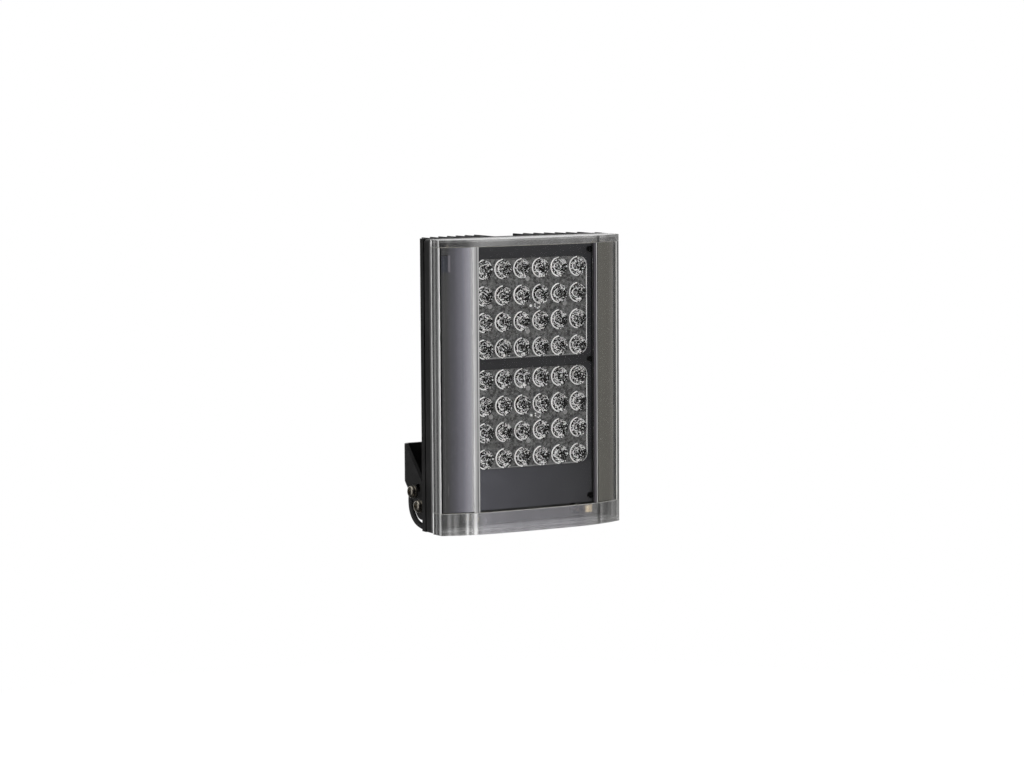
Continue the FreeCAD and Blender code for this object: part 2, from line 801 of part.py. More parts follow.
def make_driver_parts():
    """Coil, capacitors, regulator and terminal strip on the front of the driver board."""
    body = new_body("driver_parts", many=True)
    face = behind(tray_floor - dim.driver_standoff - dim.board_thickness)
    middle = above(driver_middle)
    coil = new_sketch(body, "front", face)
    add_circle(coil, (dim.coil_across, middle), dim.coil_radius)
    pad(body, coil, dim.coil_height)
    cans = new_sketch(body, "front", face)
    for across in (-dim.can_pitch, 0, dim.can_pitch):
        add_circle(cans, (across, middle + dim.can_up), dim.can_radius)
    pad(body, cans, dim.can_height)
    blocks = new_sketch(body, "front", face)
    regulator_top = middle - dim.can_up
    add_rectangle(blocks, -dim.regulator_width / 2, regulator_top - dim.regulator_depth,
                  dim.regulator_width / 2, regulator_top)
    add_rectangle(blocks, dim.terminal_across, middle - dim.terminal_height / 2,
                  dim.terminal_across + dim.terminal_width, middle + dim.terminal_height / 2)
    pad(body, blocks, dim.block_height)


def make_gasket():
    body = new_body("gasket")
    ring = new_sketch(body, "front", behind(dim.cover_rear + dim.gasket_thickness))
    out = half_width - dim.gasket_inset
    top = half_height - dim.gasket_inset
    wide = dim.gasket_width
    add_rectangle(ring, -out, above(-top), out, above(top), dim.flange_corner)
    add_rectangle(ring, wide - out, above(wide - top), out - wide, above(top - wide),
                  dim.flange_corner / 2)
    pad(body, ring, dim.gasket_thickness)


# Heatsink casting

def make_heatsink():
    body = new_body("heatsink")
    flange = new_sketch(body, "front", behind(heatsink_front))
    add_rectangle(flange, -half_width, above(-half_height), half_width, above(half_height),
                  dim.flange_corner)
    pad(body, flange, dim.flange_depth, back=True)
    waist = new_sketch(body, "front", behind(heatsink_front + dim.flange_depth))
    inner = half_width - dim.groove_inset
    add_rectangle(waist, -inner, above(-half_height), inner, above(half_height))
    pad(body, waist, dim.groove_depth, back=True)

    fin = new_sketch(body, "plan", above(-half_height))
    root_half = dim.fin_thickness / 2
    tip_half = root_half * 0.8
    add_outline(fin, [
        (dim.fin_first - root_half, behind(fin_root - 1)),
        (dim.fin_first + root_half, behind(fin_root - 1)),
        (dim.fin_first + tip_half, behind(dim.fin_reach + 4)),
        (dim.fin_first - tip_half, behind(dim.fin_reach + 4))])
    right = pad(body, fin, dim.cover_height)
    grid(body, [right], dim.fin_pitch, Size(0), 7, 1)
    left_fin = new_sketch(body, "plan", above(-half_height))
    add_outline(left_fin, [
        (-dim.fin_first - root_half, behind(fin_root - 1)),
        (-dim.fin_first + root_half, behind(fin_root - 1)),
        (-dim.fin_first + tip_half, behind(dim.fin_reach + 4)),
        (-dim.fin_first - tip_half, behind(dim.fin_reach + 4))])
    left = pad(body, left_fin, dim.cover_height)
    others = grid(body, [left], dim.fin_pitch, Size(0), 7, 1)
    others.Reversed = True
    doc.recompute()

    bow = new_sketch(body, "plan", above(-half_height - 1))
    reach = half_width + 10
    corner = dim.fin_bow_radius - root(
        dim.fin_bow_radius * dim.fin_bow_radius - reach * reach)
    add_outline(bow, [
        (-reach, behind(dim.fin_reach + 20)),
        (-reach, behind(dim.fin_reach) - corner),
        (reach, behind(dim.fin_reach) - corner, dim.fin_bow_radius, 1),
        (reach, behind(dim.fin_reach + 20))])
    pocket(body, bow, dim.cover_height + 2, back=True)

    rails = new_sketch(body, "plan", above(-half_height))
    half = dim.rail_thickness / 2
    for side in (1, -1):
        centre = dim.rail_middle * side
        add_outline(rails, [
            (centre - half, behind(fin_root - 1)),
            (centre + half, behind(fin_root - 1)),
            (centre + half, behind(dim.rail_end) - half),
            (centre - half, behind(dim.rail_end) - half, half * 1.2, -1)])
    pad(body, rails, dim.cover_height)

    ears = new_sketch(body, "side", dim.bracket_inner - dim.slide_gap)
    slant = dim.ear_radius / math.sqrt(2)
    low = pivot_z - dim.ear_radius
    add_outline(ears, [
        (behind(fin_root - 1), low),
        (pivot_y, low),
        (pivot_y + slant, pivot_z - slant, dim.ear_radius, -1),
        (lock_y + slant, lock_z - slant),
        (lock_y + slant, lock_z + slant, dim.ear_radius, -1),
        (lock_y - slant, lock_z + slant, dim.ear_radius, -1),
        (behind(fin_root - 1), lock_z + slant)])
    right_ear = pad(body, ears, dim.ear_thickness, back=True)
    mirror(body, [right_ear], "YZ_Plane")

    entry = new_sketch(body, "front", behind(fin_root - 1))
    add_rectangle(entry, -dim.entry_boss_half, above(entry_boss_bottom),
                  dim.entry_boss_half, above(dim.entry_boss_top), dim.flange_corner)
    pad(body, entry, dim.entry_boss_rear - fin_root + 1, back=True)

    tray = new_sketch(body, "front", behind(heatsink_front))
    across = half_width - dim.tray_wall
    rise = half_height - dim.tray_wall
    add_rectangle(tray, -across, above(-rise), across, above(rise), dim.tray_corner)
    island_across = optic_half_across - dim.island_inset
    island_up = optic_half_up - dim.island_inset
    for middle in (module_upper, module_lower):
        add_rectangle(tray, -island_across, above(middle - island_up),
                      island_across, above(middle + island_up), dim.island_corner)
    pocket(body, tray, dim.tray_depth)

    posts = new_sketch(body, "front", behind(tray_floor + 0.5))
    for height in bezel_screw_heights:
        for side in (1, -1):
            add_circle(posts, (dim.bezel_screw_across * side, above(height)), dim.post_radius)
    pad(body, posts, tray_floor + 0.5 - bezel_back)
    seats = new_sketch(body, "front", behind(tray_floor + 0.5))
    for across, up in cover_screw_places:
        for side in (1, -1):
            add_circle(seats, (across * side, above(up)), dim.screw_post_radius)
    pad(body, seats, dim.tray_depth + 0.5)
    stands = new_sketch(body, "front", behind(tray_floor + 0.5))
    for side in (1, -1):
        for end in (1, -1):
            add_circle(stands, (driver_screw_across * side,
                                above(driver_middle + driver_screw_up * end)),
                       dim.post_radius)
    pad(body, stands, dim.driver_standoff + 0.5)

    through = new_sketch(body, "front", behind(heatsink_front - 1))
    for across, up in cover_screw_places:
        for side in (1, -1):
            add_circle(through, (across * side, above(up)),
                       dim.cover_screw_radius + dim.screw_hole_gap)
    pocket(body, through, fin_root - heatsink_front + 3)
    tapped = new_sketch(body, "front", behind(bezel_back - 1))
    for height in bezel_screw_heights:
        for side in (1, -1):
            add_circle(tapped, (dim.bezel_screw_across * side, above(height)),
                       dim.bezel_screw_radius + dim.thread_gap)
    pocket(body, tapped, dim.bezel_screw_length)
    small = new_sketch(body, "front", behind(heatsink_front - 1))
    for middle in (module_upper, module_lower):
        for side in (1, -1):
            for end in (1, -1):
                add_circle(small, (board_screw_across * side,
                                   above(middle + board_screw_up * end)),
                           dim.board_screw_radius + dim.thread_gap)
    pocket(body, small, dim.board_screw_length + 1)
    driver = new_sketch(body, "front", behind(tray_floor - dim.driver_standoff - 1))
    for side in (1, -1):
        for end in (1, -1):
            add_circle(driver, (driver_screw_across * side,
                                above(driver_middle + driver_screw_up * end)),
                       dim.board_screw_radius + dim.thread_gap)
    pocket(body, driver, dim.board_screw_length + 1)
    bolts = new_sketch(body, "side", dim.bracket_inner + 1)
    for place in ((pivot_y, pivot_z), (lock_y, lock_z)):
        add_circle(bolts, place, dim.bolt_radius + dim.thread_gap)
    right_holes = pocket(body, bolts, dim.bolt_grip + 1)
    mirror(body, [right_holes], "YZ_Plane")


# Wall bracket: one strip of steel cut to outline, folded at both ends of its web

def make_wall_bracket():
    body = new_body("wall_bracket")
    folded = new_sketch(body, "plan", above(dim.pivot_height - dim.lobe_radius - 2))
    outer = bracket_outer
    inner = dim.bracket_inner
    thick = dim.bracket_thickness
    bend = dim.bend_inner_radius
    front = behind(dim.pivot_depth - dim.lobe_radius - 2)
    add_outline(folded, [
        (-outer, front), (-inner, front), (-inner, -thick - bend),
        (bend - inner, -thick, bend, 1), (inner - bend, -thick),
        (inner, -thick - bend, bend, 1), (inner, front), (outer, front),
        (outer, -thick - bend), (inner - bend, 0, bend + thick, -1),
        (bend - inner, 0), (-outer, -thick - bend, bend + thick, -1)])
    top = dim.web_height / 2
    pad(body, folded, top - above(dim.pivot_height - dim.lobe_radius - 2) + 2)

    outline = new_sketch(body, "side", Size(0.0))
    wall_upper = dim.arm_upper_line - dim.overall_depth - dim.web_below_middle
    wall_lower = dim.arm_lower_line - dim.overall_depth - dim.web_below_middle
    lobe_front = pivot_y - dim.lobe_radius
    offset = (wall_lower - (pivot_y - pivot_z)) / math.sqrt(2)
    along = root(dim.lobe_radius * dim.lobe_radius - offset * offset)
    join_y = pivot_y + (offset + along) / math.sqrt(2)
    join_z = pivot_z + (along - offset) / math.sqrt(2)
    add_outline(outline, [
        (Size(1.0), top), (top + wall_upper, top),
        (lobe_front, lobe_front - wall_upper), (lobe_front, pivot_z),
        (pivot_y, pivot_z - dim.lobe_radius, dim.lobe_radius, -1),
        (join_y, join_z, dim.lobe_radius, -1),
        (wall_lower - top, -top), (Size(1.0), -top)])
    add_rectangle(outline, front - 3, pivot_z - dim.lobe_radius - 6, Size(4.0), top + 6)
    pocket(body, outline, outer * 2 + 4, symmetric=True)

    holes = new_sketch(body, "front", Size(1.0))
    for side in (1, -1):
        add_circle(holes, (dim.wall_hole_spacing / 2 * side, 0), dim.wall_hole_radius)
    add_circle(holes, (0, 0), dim.centre_hole_radius)
    pocket(body, holes, thick + 2, back=True)

    pivots = new_sketch(body, "side", Size(0.0))
    add_circle(pivots, (pivot_y, pivot_z), dim.bolt_radius + dim.bolt_fit)
    pocket(body, pivots, outer * 2 + 4, symmetric=True)
    slots = new_sketch(body, "side", Size(0.0))
    half = dim.bolt_radius + dim.slot_gap
    low_angle = dim.lock_angle - dim.tilt_up
    high_angle = dim.lock_angle + dim.tilt_down
    near = dim.lock_radius - half
    far = dim.lock_radius + half

    def on_arc(radius, angle, along=0):
        return (pivot_y + radius * cosine(angle) - along * sine(angle),
                pivot_z + radius * sine(angle) + along * cosine(angle))

    add_outline(slots, [
        on_arc(dim.lock_radius, low_angle, -half) + (half, -1),
        on_arc(far, low_angle) + (half, -1),
        on_arc(far, high_angle) + (far, -1),
        on_arc(dim.lock_radius, high_angle, half) + (half, -1),
        on_arc(near, high_angle) + (half, -1),
        on_arc(near, low_angle) + (near, 1)])
    pocket(body, slots, outer * 2 + 4, symmetric=True)


# Fasteners

def make_side_bolts(label, places):
    """Button-head bolts from both sides through the bracket into the casting."""
    body = new_body(label, many=True)
    under_head = bracket_outer + dim.slide_gap + dim.washer_thickness
    shank = new_sketch(body, "side", under_head)
    for place in places:
        add_circle(shank, place, dim.bolt_radius)
    pad(body, shank, under_head - dim.bracket_inner + dim.bolt_grip - 1, back=True)
    heads = new_sketch(body, "side", under_head)
    for place in places:
        add_circle(heads, place, dim.bolt_head_radius)
    top = pad(body, heads, dim.bolt_head_height)
    outer_face = float(under_head + dim.bolt_head_height)
    rims = edges_where(top, lambda edge: abs(edge.BoundBox.XMin - outer_face) < 1e-3)
    soften(body, top, rims, dim.bolt_head_height * 0.5)
    keys = new_sketch(body, "side", under_head + dim.bolt_head_height)
    for place in places:
        add_hexagon(keys, place, dim.bolt_socket)
    pocket(body, keys, dim.bolt_socket_depth)
    mirror_whole(body)


def mirror_whole(body):
    """Mirror the whole body across the middle plane."""
    feature = body.newObject("PartDesign::Mirrored", f"{body.Name}_mirror")
    feature.TransformMode = "Whole shape"
    feature.MirrorPlane = (origin_item(body, "YZ_Plane"), [""])
    body.Tip = feature
    doc.recompute()


def make_side_washers(label, places):
    body = new_body(label, many=True)
    ring = new_sketch(body, "side", bracket_outer + dim.slide_gap)
    for place in places:
        add_circle(ring, place, dim.washer_radius)
        add_circle(ring, place, dim.bolt_radius + dim.thread_gap)
    pad(body, ring, dim.washer_thickness)
    mirror_whole(body)


def make_front_screws(label, places, face, size, head, rise, length, toward_back=True):
    """Socket screws along Y: heads on a face, shanks going back (or forward) from it."""
    body = new_body(label, many=True)
    shank = new_sketch(body, "front", face)
    for place in places:
        add_circle(shank, place, size)
    pad(body, shank, length, back=toward_back)
    heads = new_sketch(body, "front", face)
    for place in places:
        add_circle(heads, place, head)
    pad(body, heads, rise, back=not toward_back)
    outer = face - rise if toward_back else face + rise
    keys = new_sketch(body, "front", outer)
    for place in places:
        add_hexagon(keys, place, size * 0.95)
    pocket(body, keys, rise * 0.6, back=not toward_back)


# Cable entry and lead

def make_gland_body():
    body = new_body("gland_body")
    hexagon = new_sketch(body, "plan", above(entry_boss_bottom))
    add_hexagon(hexagon, (Size(0.0), behind(dim.gland_depth)), dim.gland_radius)
    pad(body, hexagon, dim.gland_body_height, back=True)
    bore = new_sketch(body, "plan", above(entry_boss_bottom + 1))
    add_circle(bore, (0, behind(dim.gland_depth)), dim.lead_diameter / 2 + dim.gland_bore_gap)
    pocket(body, bore, dim.gland_body_height + 2)


def make_gland_nut():
    body = new_body("gland_nut")
    start = entry_boss_bottom - dim.gland_body_height
    dome = new_sketch(body, "plan", above(start))
    add_circle(dome, (0, behind(dim.gland_depth)), dim.gland_radius - dim.gland_nut_inset)
    top = pad(body, dome, dim.gland_nut_height, back=True)
    exit_face = float(above(gland_exit))
    rims = edges_where(top, lambda edge: abs(edge.BoundBox.ZMax - exit_face) < 1e-3)
    soften(body, top, rims, dim.gland_nut_round)
    bore = new_sketch(body, "plan", above(start + 1))
    add_circle(bore, (0, behind(dim.gland_depth)), dim.lead_diameter / 2 + dim.gland_bore_gap)
    pocket(body, bore, dim.gland_nut_height + 2)


# Route of the lead from the gland to the hank: across, depth behind the front, height
LEAD_ROUTE = [
    (0.0, 60.0, -89.0),
    (0.0, 60.0, -102.0),
    (-1.5, 61.0, -115.0),
    (-9.0, 64.5, -126.5),
    (-22.0, 68.5, -131.0),
    (-38.0, 70.5, -131.2),
    (-53.5, 72.0, -130.6),
    (-66.5, 75.5, -129.4),
    (-73.5, 83.0, -126.0),
    (-75.7, 89.5, -118.0),
    (-75.8, 93.0, -108.0),
    (-74.6, 93.9, -97.0),
    (-69.0, 91.4, -88.0),
    (-59.0, 87.8, -81.5),
    (-46.0, 85.0, -77.0),
    (-32.5, 84.0, -72.0),
    (-20.5, 84.2, -63.5),
    (-15.5, 83.7, -50.0),
]


def lead_point(place):
    return FreeCAD.Vector(place[0], float(behind(Size(place[1]))), float(above(Size(place[2]))))


def rounded_wire(points):
    """Straight runs joined by tangent arcs, and the arcs' radii."""
    arcs = []
    for before, corner, after in zip(points, points[1:], points[2:]):
        into = corner - before
        out = after - corner
        half_turn = into.getAngle(out) / 2
        cut = 0.45 * min(into.Length, out.Length)
        start = corner - FreeCAD.Vector(into).normalize() * cut
        end = corner + FreeCAD.Vector(out).normalize() * cut
        radius = cut / math.tan(half_turn)
        inward = (FreeCAD.Vector(out).normalize() - FreeCAD.Vector(into).normalize()).normalize()
        middle = corner + inward * (radius / math.cos(half_turn) - radius)
        arcs.append((start, middle, end, radius))
    edges = []
    place = points[0]
    for start, middle, end, radius in arcs:
        edges.append(Part.LineSegment(place, start).toShape())
        edges.append(Part.Arc(start, middle, end).toShape())
        place = end
    edges.append(Part.LineSegment(place, points[-1]).toShape())
    return Part.Wire(edges), [arc[3] for arc in arcs]


def tube(label, points, diameter):
    wire, radii = rounded_wire(points)
    direction = points[1] - points[0]
    section = Part.Wire(Part.makeCircle(diameter / 2, points[0], direction))
    solid = wire.makePipeShell([section], True, True)
    piece = doc.addObject("Part::Feature", label)
    piece.Label = label
    piece.Shape = solid
    expected = math.pi * diameter * diameter / 4 * wire.Length
    print(label, "length", round(wire.Length, 1), "volume ratio",
          round(solid.Volume / expected, 4), "tightest bend", round(min(radii), 1))


def make_lead():
    points = [lead_point(place) for place in LEAD_ROUTE]
    points[0].z = float(above(gland_exit))
    tube("lead", points, float(dim.lead_diameter))


def make_lead_hank():
    """Outer shape of the folded turns, standing on the entry boss."""
    body = new_body("lead_hank")
    half = dim.hank_half
    ring = new_sketch(body, "front", behind(dim.hank_rear))
    low = dim.entry_boss_top + half + dim.lead_diameter / 2 + dim.hank_lift
    high = low + dim.hank_run
    for radius in (half + dim.lead_diameter / 2, half - dim.lead_diameter / 2):
        add_outline(ring, [
            (radius, above(high)), (0, above(high) + radius, radius, -1),
            (-radius, above(high), radius, -1), (-radius, above(low)),
            (0, above(low) - radius, radius, -1), (radius, above(low), radius, -1)])
    pad(body, ring, dim.hank_depth)


def make_hank_tie():
    body = new_body("hank_tie")
    middle = dim.entry_boss_top + dim.hank_half + dim.lead_diameter / 2 + dim.hank_run / 2
    band = new_sketch(body, "plan", above(middle))
    inner = dim.hank_half + dim.lead_diameter / 2 + dim.tie_gap
    thick = dim.tie_thickness
    front = behind(dim.hank_rear - dim.hank_depth) - dim.tie_gap
    back = behind(dim.hank_rear) + dim.tie_gap
    add_rectangle(band, -inner - thick, front - thick, inner + thick, back + thick)
    add_rectangle(band, -inner, front, inner, back)
    pad(body, band, dim.tie_width, symmetric=True)


def hank_top():
    return (dim.entry_boss_top + dim.hank_lift + dim.hank_half * 2 + dim.lead_diameter
            + dim.hank_run)


# Free end: off the front turn, back over the top of the hank
TAIL_ROUTE = [
    (-7.0, 50.0, 2.6),
    (-4.5, 60.0, 4.0),
    (-2.0, 70.5, 4.4),
    (0.5, 80.0, 4.2),
    (2.0, 87.0, 0.8),
]


def tail_points():
    return [lead_point((across, depth, up + float(hank_top()))) for across, depth, up in TAIL_ROUTE]


def make_lead_tail():
    tube("lead_tail", tail_points(), float(dim.lead_diameter))


def make_lead_end():
    """Bare ends of the three cores."""
    points = tail_points()
    direction = (points[-1] - points[-2]).normalize()
    across = direction.cross(FreeCAD.Vector(0, 0, 1)).normalize()
    up = across.cross(direction)
    cores = []
    for turn in range(3):
        angle = math.radians(90 + 120 * turn)
        shift = (across * math.cos(angle) + up * math.sin(angle)) * float(dim.core_radius) * 1.25
        cores.append(Part.makeCylinder(float(dim.core_radius), float(dim.core_length),
                                       points[-1] + shift, direction))
    piece = doc.addObject("Part::Feature", "lead_end")
    piece.Label = "lead_end"
    piece.Shape = Part.makeCompound(cores)


# Assembly

make_front_cover()
make_lens_insert()
make_wing_mask("wing_mask_left", -1)
make_wing_mask("wing_mask_right", 1)
make_cover_inserts()
make_bezel()
make_optic("optic_upper", module_upper)
make_optic("optic_lower", module_lower)
make_led_board("led_board_upper", module_upper)
make_led_board("led_board_lower", module_lower)
make_leds("leds_upper", module_upper)
make_leds("leds_lower", module_lower)
make_driver_board()
make_driver_parts()
make_gasket()
make_heatsink()
make_wall_bracket()
make_side_bolts("pivot_bolts", [(pivot_y, pivot_z)])
make_side_bolts("lock_bolts", [(lock_y, lock_z)])
make_side_washers("pivot_washers", [(pivot_y, pivot_z)])
make_side_washers("lock_washers", [(lock_y, lock_z)])
make_front_screws(
    "bezel_screws",
    [(dim.bezel_screw_across * side, above(height))
     for height in bezel_screw_heights for side in (1, -1)],
    behind(dim.bezel_front), dim.bezel_screw_radius, dim.bezel_screw_head,
    dim.bezel_screw_rise, dim.bezel_screw_length)
make_front_screws(
    "cover_screws",
    [(across * side, above(up)) for across, up in cover_screw_places for side in (1, -1)],
    behind(fin_root), dim.cover_screw_radius, dim.cover_screw_head, dim.cover_screw_rise,
    fin_root - heatsink_front + dim.brass_length - 1, toward_back=False)
make_front_screws(
    "board_screws",
    [(board_screw_across * side, above(middle + board_screw_up * end))
     for middle in (module_upper, module_lower) for side in (1, -1) for end in (1, -1)],
    behind(board_front), dim.board_screw_radius, dim.board_screw_head,
    dim.board_screw_rise, dim.board_screw_length)
make_front_screws(
    "driver_screws",
    [(driver_screw_across * side, above(driver_middle + driver_screw_up * end))
     for side in (1, -1) for end in (1, -1)],
    behind(tray_floor - dim.driver_standoff - dim.board_thickness),
    dim.board_screw_radius, dim.board_screw_head, dim.board_screw_rise, dim.board_screw_length)
make_gland_body()
make_gland_nut()
make_lead()
make_lead_hank()
make_hank_tie()
make_lead_tail()
make_lead_end()

doc.recompute()

failed = [item.Name for item in doc.Objects if "Invalid" in item.State or "Error" in item.State]
if failed:
    raise RuntimeError(f"failed to build: {failed}")

os.makedirs("parts", exist_ok=True)
for item in doc.Objects:
    if item.TypeId not in ("PartDesign::Body", "Part::Feature"):
        continue
    if item.TypeId == "Part::Feature" and item.getParentGeoFeatureGroup() is not None:
        continue
    shape = item.Shape
    if shape.isNull() or not shape.isValid():
        raise RuntimeError(f"{item.Label} has no valid shape")
    print(f"{item.Label:18s} solids {len(shape.Solids):3d} volume {shape.Volume:10.1f}")
    shape.exportStep(f"parts/{item.Label}.step")
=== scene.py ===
import math
import random

import bmesh
import bpy
from mathutils import Matrix, Vector, geometry


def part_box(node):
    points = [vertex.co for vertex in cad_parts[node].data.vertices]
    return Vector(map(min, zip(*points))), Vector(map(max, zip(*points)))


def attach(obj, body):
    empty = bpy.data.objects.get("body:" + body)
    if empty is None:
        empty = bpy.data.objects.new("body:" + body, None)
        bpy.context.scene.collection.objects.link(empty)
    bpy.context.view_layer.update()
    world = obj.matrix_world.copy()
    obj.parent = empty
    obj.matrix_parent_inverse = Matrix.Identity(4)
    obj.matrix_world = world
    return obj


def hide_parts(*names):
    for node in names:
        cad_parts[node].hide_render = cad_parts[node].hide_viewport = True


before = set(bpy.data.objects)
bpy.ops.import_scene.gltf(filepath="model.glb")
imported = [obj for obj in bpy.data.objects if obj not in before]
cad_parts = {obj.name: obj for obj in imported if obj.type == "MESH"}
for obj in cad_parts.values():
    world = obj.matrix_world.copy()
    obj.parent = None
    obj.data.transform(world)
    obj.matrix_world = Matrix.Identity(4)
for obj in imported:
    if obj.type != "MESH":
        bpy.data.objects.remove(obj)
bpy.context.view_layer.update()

# Lengths are in millimetres, and MM turns them into metres
MM = 0.001
# Depth of the whole part, and height of the head's middle over the origin
DEPTH = 98.5
MIDDLE = 71.7
# Places on the clear front: half its width, edges of the window's strips, inner edge of the
# films, start of the rounded shoulder, outer side walls, and lower and upper end of the window
HALF_WIDTH = 90.0
STRIP_INNER = 56.3
STRIP_OUTER = 61.8
FILM_INNER = 58.0
SHOULDER = 84.0
SIDE_WALL = 87.5
INSERT_LOW = -107.2
INSERT_HIGH = 119.8


def place(across, depth, height):
    """Point in metres from millimetres: across, depth behind the front, height over the middle."""
    return Vector((across * MM, (depth - DEPTH) * MM, (height + MIDDLE) * MM))


# Materials

WHITE = (1.0, 1.0, 1.0)
PLASTIC_IOR = 1.49
# Darker spots of bare metal, as a share of its tint
METAL_SHADE = 0.78


class Nodes:
    """Node tree of a material or the world, with short calls for its nodes."""

    def __init__(self, owner, output, coordinates):
        owner.use_nodes = True
        self.owner = owner
        self.tree = owner.node_tree
        self.tree.nodes.clear()
        self.output = self.add(output)
        self.coordinates = self.add("ShaderNodeTexCoord").outputs[coordinates]

    def add(self, kind, inputs=None, **values):
        """New node with its properties set, then its inputs, taken by name or number."""
        node = self.tree.nodes.new(kind)
        for key, value in values.items():
            setattr(node, key, value)
        for key, value in (inputs or {}).items():
            self.put(value, node.inputs[key])
        return node

    def put(self, value, socket):
        """Give a socket another node's output, a colour as a tuple, or a number or Vector."""
        if isinstance(value, bpy.types.NodeSocket):
            self.tree.links.new(value, socket)
        elif isinstance(value, tuple):
            socket.default_value = (*value, 1.0)
        else:
            socket.default_value = value

    def noise(self, scale, detail=3.0, roughness=0.5, vector=None):
        node = self.add("ShaderNodeTexNoise", {
            "Scale": scale, "Detail": detail, "Roughness": roughness,
            "Vector": vector if vector else self.coordinates})
        return node.outputs["Fac"]

    def stretched(self, scale):
        """Coordinates stretched along the axes."""
        node = self.add("ShaderNodeMapping", {"Scale": Vector(scale), "Vector": self.coordinates})
        return node.outputs["Vector"]

    def ramp(self, factor, stops):
        """Colour ramp. Each stop is a position and a colour."""
        node = self.add("ShaderNodeValToRGB", {"Fac": factor})
        elements = node.color_ramp.elements
        while len(elements) < len(stops):
            elements.new(0.5)
        for element, (position, tone) in zip(elements, stops):
            element.position = position
            element.color = (*tone, 1.0)
        return node.outputs["Color"]

    def mottle(self, noise, dark, light, low=0.3, high=0.7):
        """Tones from dark to light over the middle range of a noise."""
        return self.ramp(noise, [(low, dark), (high, light)])

    def fit(self, value, start=0.0, stop=1.0, low=0.0, high=1.0, **values):
        """Map start..stop to low..high, held beyond both ends."""
        node = self.add("ShaderNodeMapRange", {
            "Value": value, "From Min": start, "From Max": stop, "To Min": low, "To Max": high},
            **values)
        return node.outputs["Result"]

    def spread(self, factor, low, high):
        """Map 0..1 to low..high."""
        return self.fit(factor, low=low, high=high)

    def split(self):
        return self.add("ShaderNodeSeparateXYZ", {"Vector": self.coordinates}).outputs

    def along(self, axis, start, stop):
        """0..1 along one axis of the object, between two places in millimetres."""
        return self.fit(self.split()[axis], start * MM, stop * MM)

    def maths(self, operation, first, second=0.0):
        node = self.add("ShaderNodeMath", {0: first, 1: second}, operation=operation)
        return node.outputs["Value"]

    def dot(self, vector, way):
        """Length of a vector along a direction."""
        node = self.add("ShaderNodeVectorMath", {0: vector, 1: Vector(way)},
                        operation="DOT_PRODUCT")
        return node.outputs["Value"]

    def patch(self, across, half_across, height, half_height, soft):
        """1 inside an upright rectangle, in millimetres, fading to 0 over its soft edge."""
        places = self.split()
        sides = []
        for axis, middle, half in (("X", across, half_across), ("Z", height + MIDDLE, half_height)):
            away = self.maths("ABSOLUTE", self.maths("SUBTRACT", places[axis], middle * MM))
            sides.append(self.fit(away, (half + soft) * MM, half * MM))
        return self.maths("MULTIPLY", *sides)

    def mix(self, factor, first, second, **values):
        """Mix of two colours."""
        node = self.add("ShaderNodeMix", {"Factor": factor, "A": first, "B": second},
                        data_type="RGBA", **values)
        return node.outputs["Result"]

    def shade(self, tone, noise, dark):
        """The tone times a grey that goes from dark to white with a noise."""
        greys = self.mottle(noise, (dark, dark, dark), WHITE)
        return self.mix(1.0, tone, greys, blend_type="MULTIPLY")

    def bump(self, height, distance, strength=1.0):
        """Normal of a relief whose height is in millimetres."""
        node = self.add("ShaderNodeBump", {
            "Distance": distance * MM, "Strength": strength, "Height": height})
        return node.outputs["Normal"]

    def surface(self, **inputs):
        """Principled surface. Names use _ for spaces."""
        named = {name.replace("_", " "): value for name, value in inputs.items()}
        return self.add("ShaderNodeBsdfPrincipled", named).outputs["BSDF"]

    def blend(self, factor, first, second):
        """Mix of two shaders."""
        return self.add("ShaderNodeMixShader", {0: factor, 1: first, 2: second}).outputs["Shader"]

    def finish(self, shader):
        self.put(shader, self.output.inputs["Surface"])
        return self.owner

    def finish_clear(self, shader):
        """Finish that lets the lamps' light through a clear piece."""
        path = self.add("ShaderNodeLightPath").outputs
        clear = self.add("ShaderNodeBsdfTransparent").outputs["BSDF"]
        return self.finish(self.blend(path["Is Shadow Ray"], shader, clear))


def material(name):
    """New material with an empty node tree."""
    return Nodes(bpy.data.materials.new(name), "ShaderNodeOutputMaterial", "Object")


def grey(level):
    """Linear colour of a grey given as 0 to 255."""
    value = level / 255
    linear = value / 12.92 if value <= 0.04045 else ((value + 0.055) / 1.055) ** 2.4
    return (linear, linear, linear)


def colour(red, green, blue):
    """Linear colour of red, green and blue given as 0 to 255."""
    return tuple(grey(level)[0] for level in (red, green, blue))


def bare_metal(name, tint, rough=(0.18, 0.36)):
    """Metal with slight tone changes and fine marks."""
    nodes = material(name)
    marks = nodes.noise(700.0, 4.0, 0.6)
    dark = tuple(level * METAL_SHADE for level in tint)
    return nodes.finish(nodes.surface(
        Base_Color=nodes.mottle(nodes.noise(260.0), dark, tint),
        Metallic=1.0,
        Roughness=nodes.spread(marks, *rough),
        Normal=nodes.bump(marks, 0.02)))


def clear_plastic(name, tint):
    """Smooth clear plastic, a little uneven."""
    nodes = material(name)
    return nodes.finish_clear(nodes.surface(
        Base_Color=tint,
        Roughness=0.02,
        IOR=PLASTIC_IOR,
        Transmission_Weight=1.0,
        Normal=nodes.bump(nodes.noise(60.0, 2.0), 0.03)))


def moulded(name, dark, light, rough=(0.4, 0.55), grain=1400.0):
    """Opaque plastic, rubber or board with slight tone changes and a fine grain."""
    nodes = material(name)
    return nodes.finish(nodes.surface(
        Base_Color=nodes.mottle(nodes.noise(70.0), dark, light),
        Roughness=nodes.spread(nodes.noise(300.0, 2.0), *rough),
        Specular_IOR_Level=0.3,
        Normal=nodes.bump(nodes.noise(grain, 2.0), 0.03)))


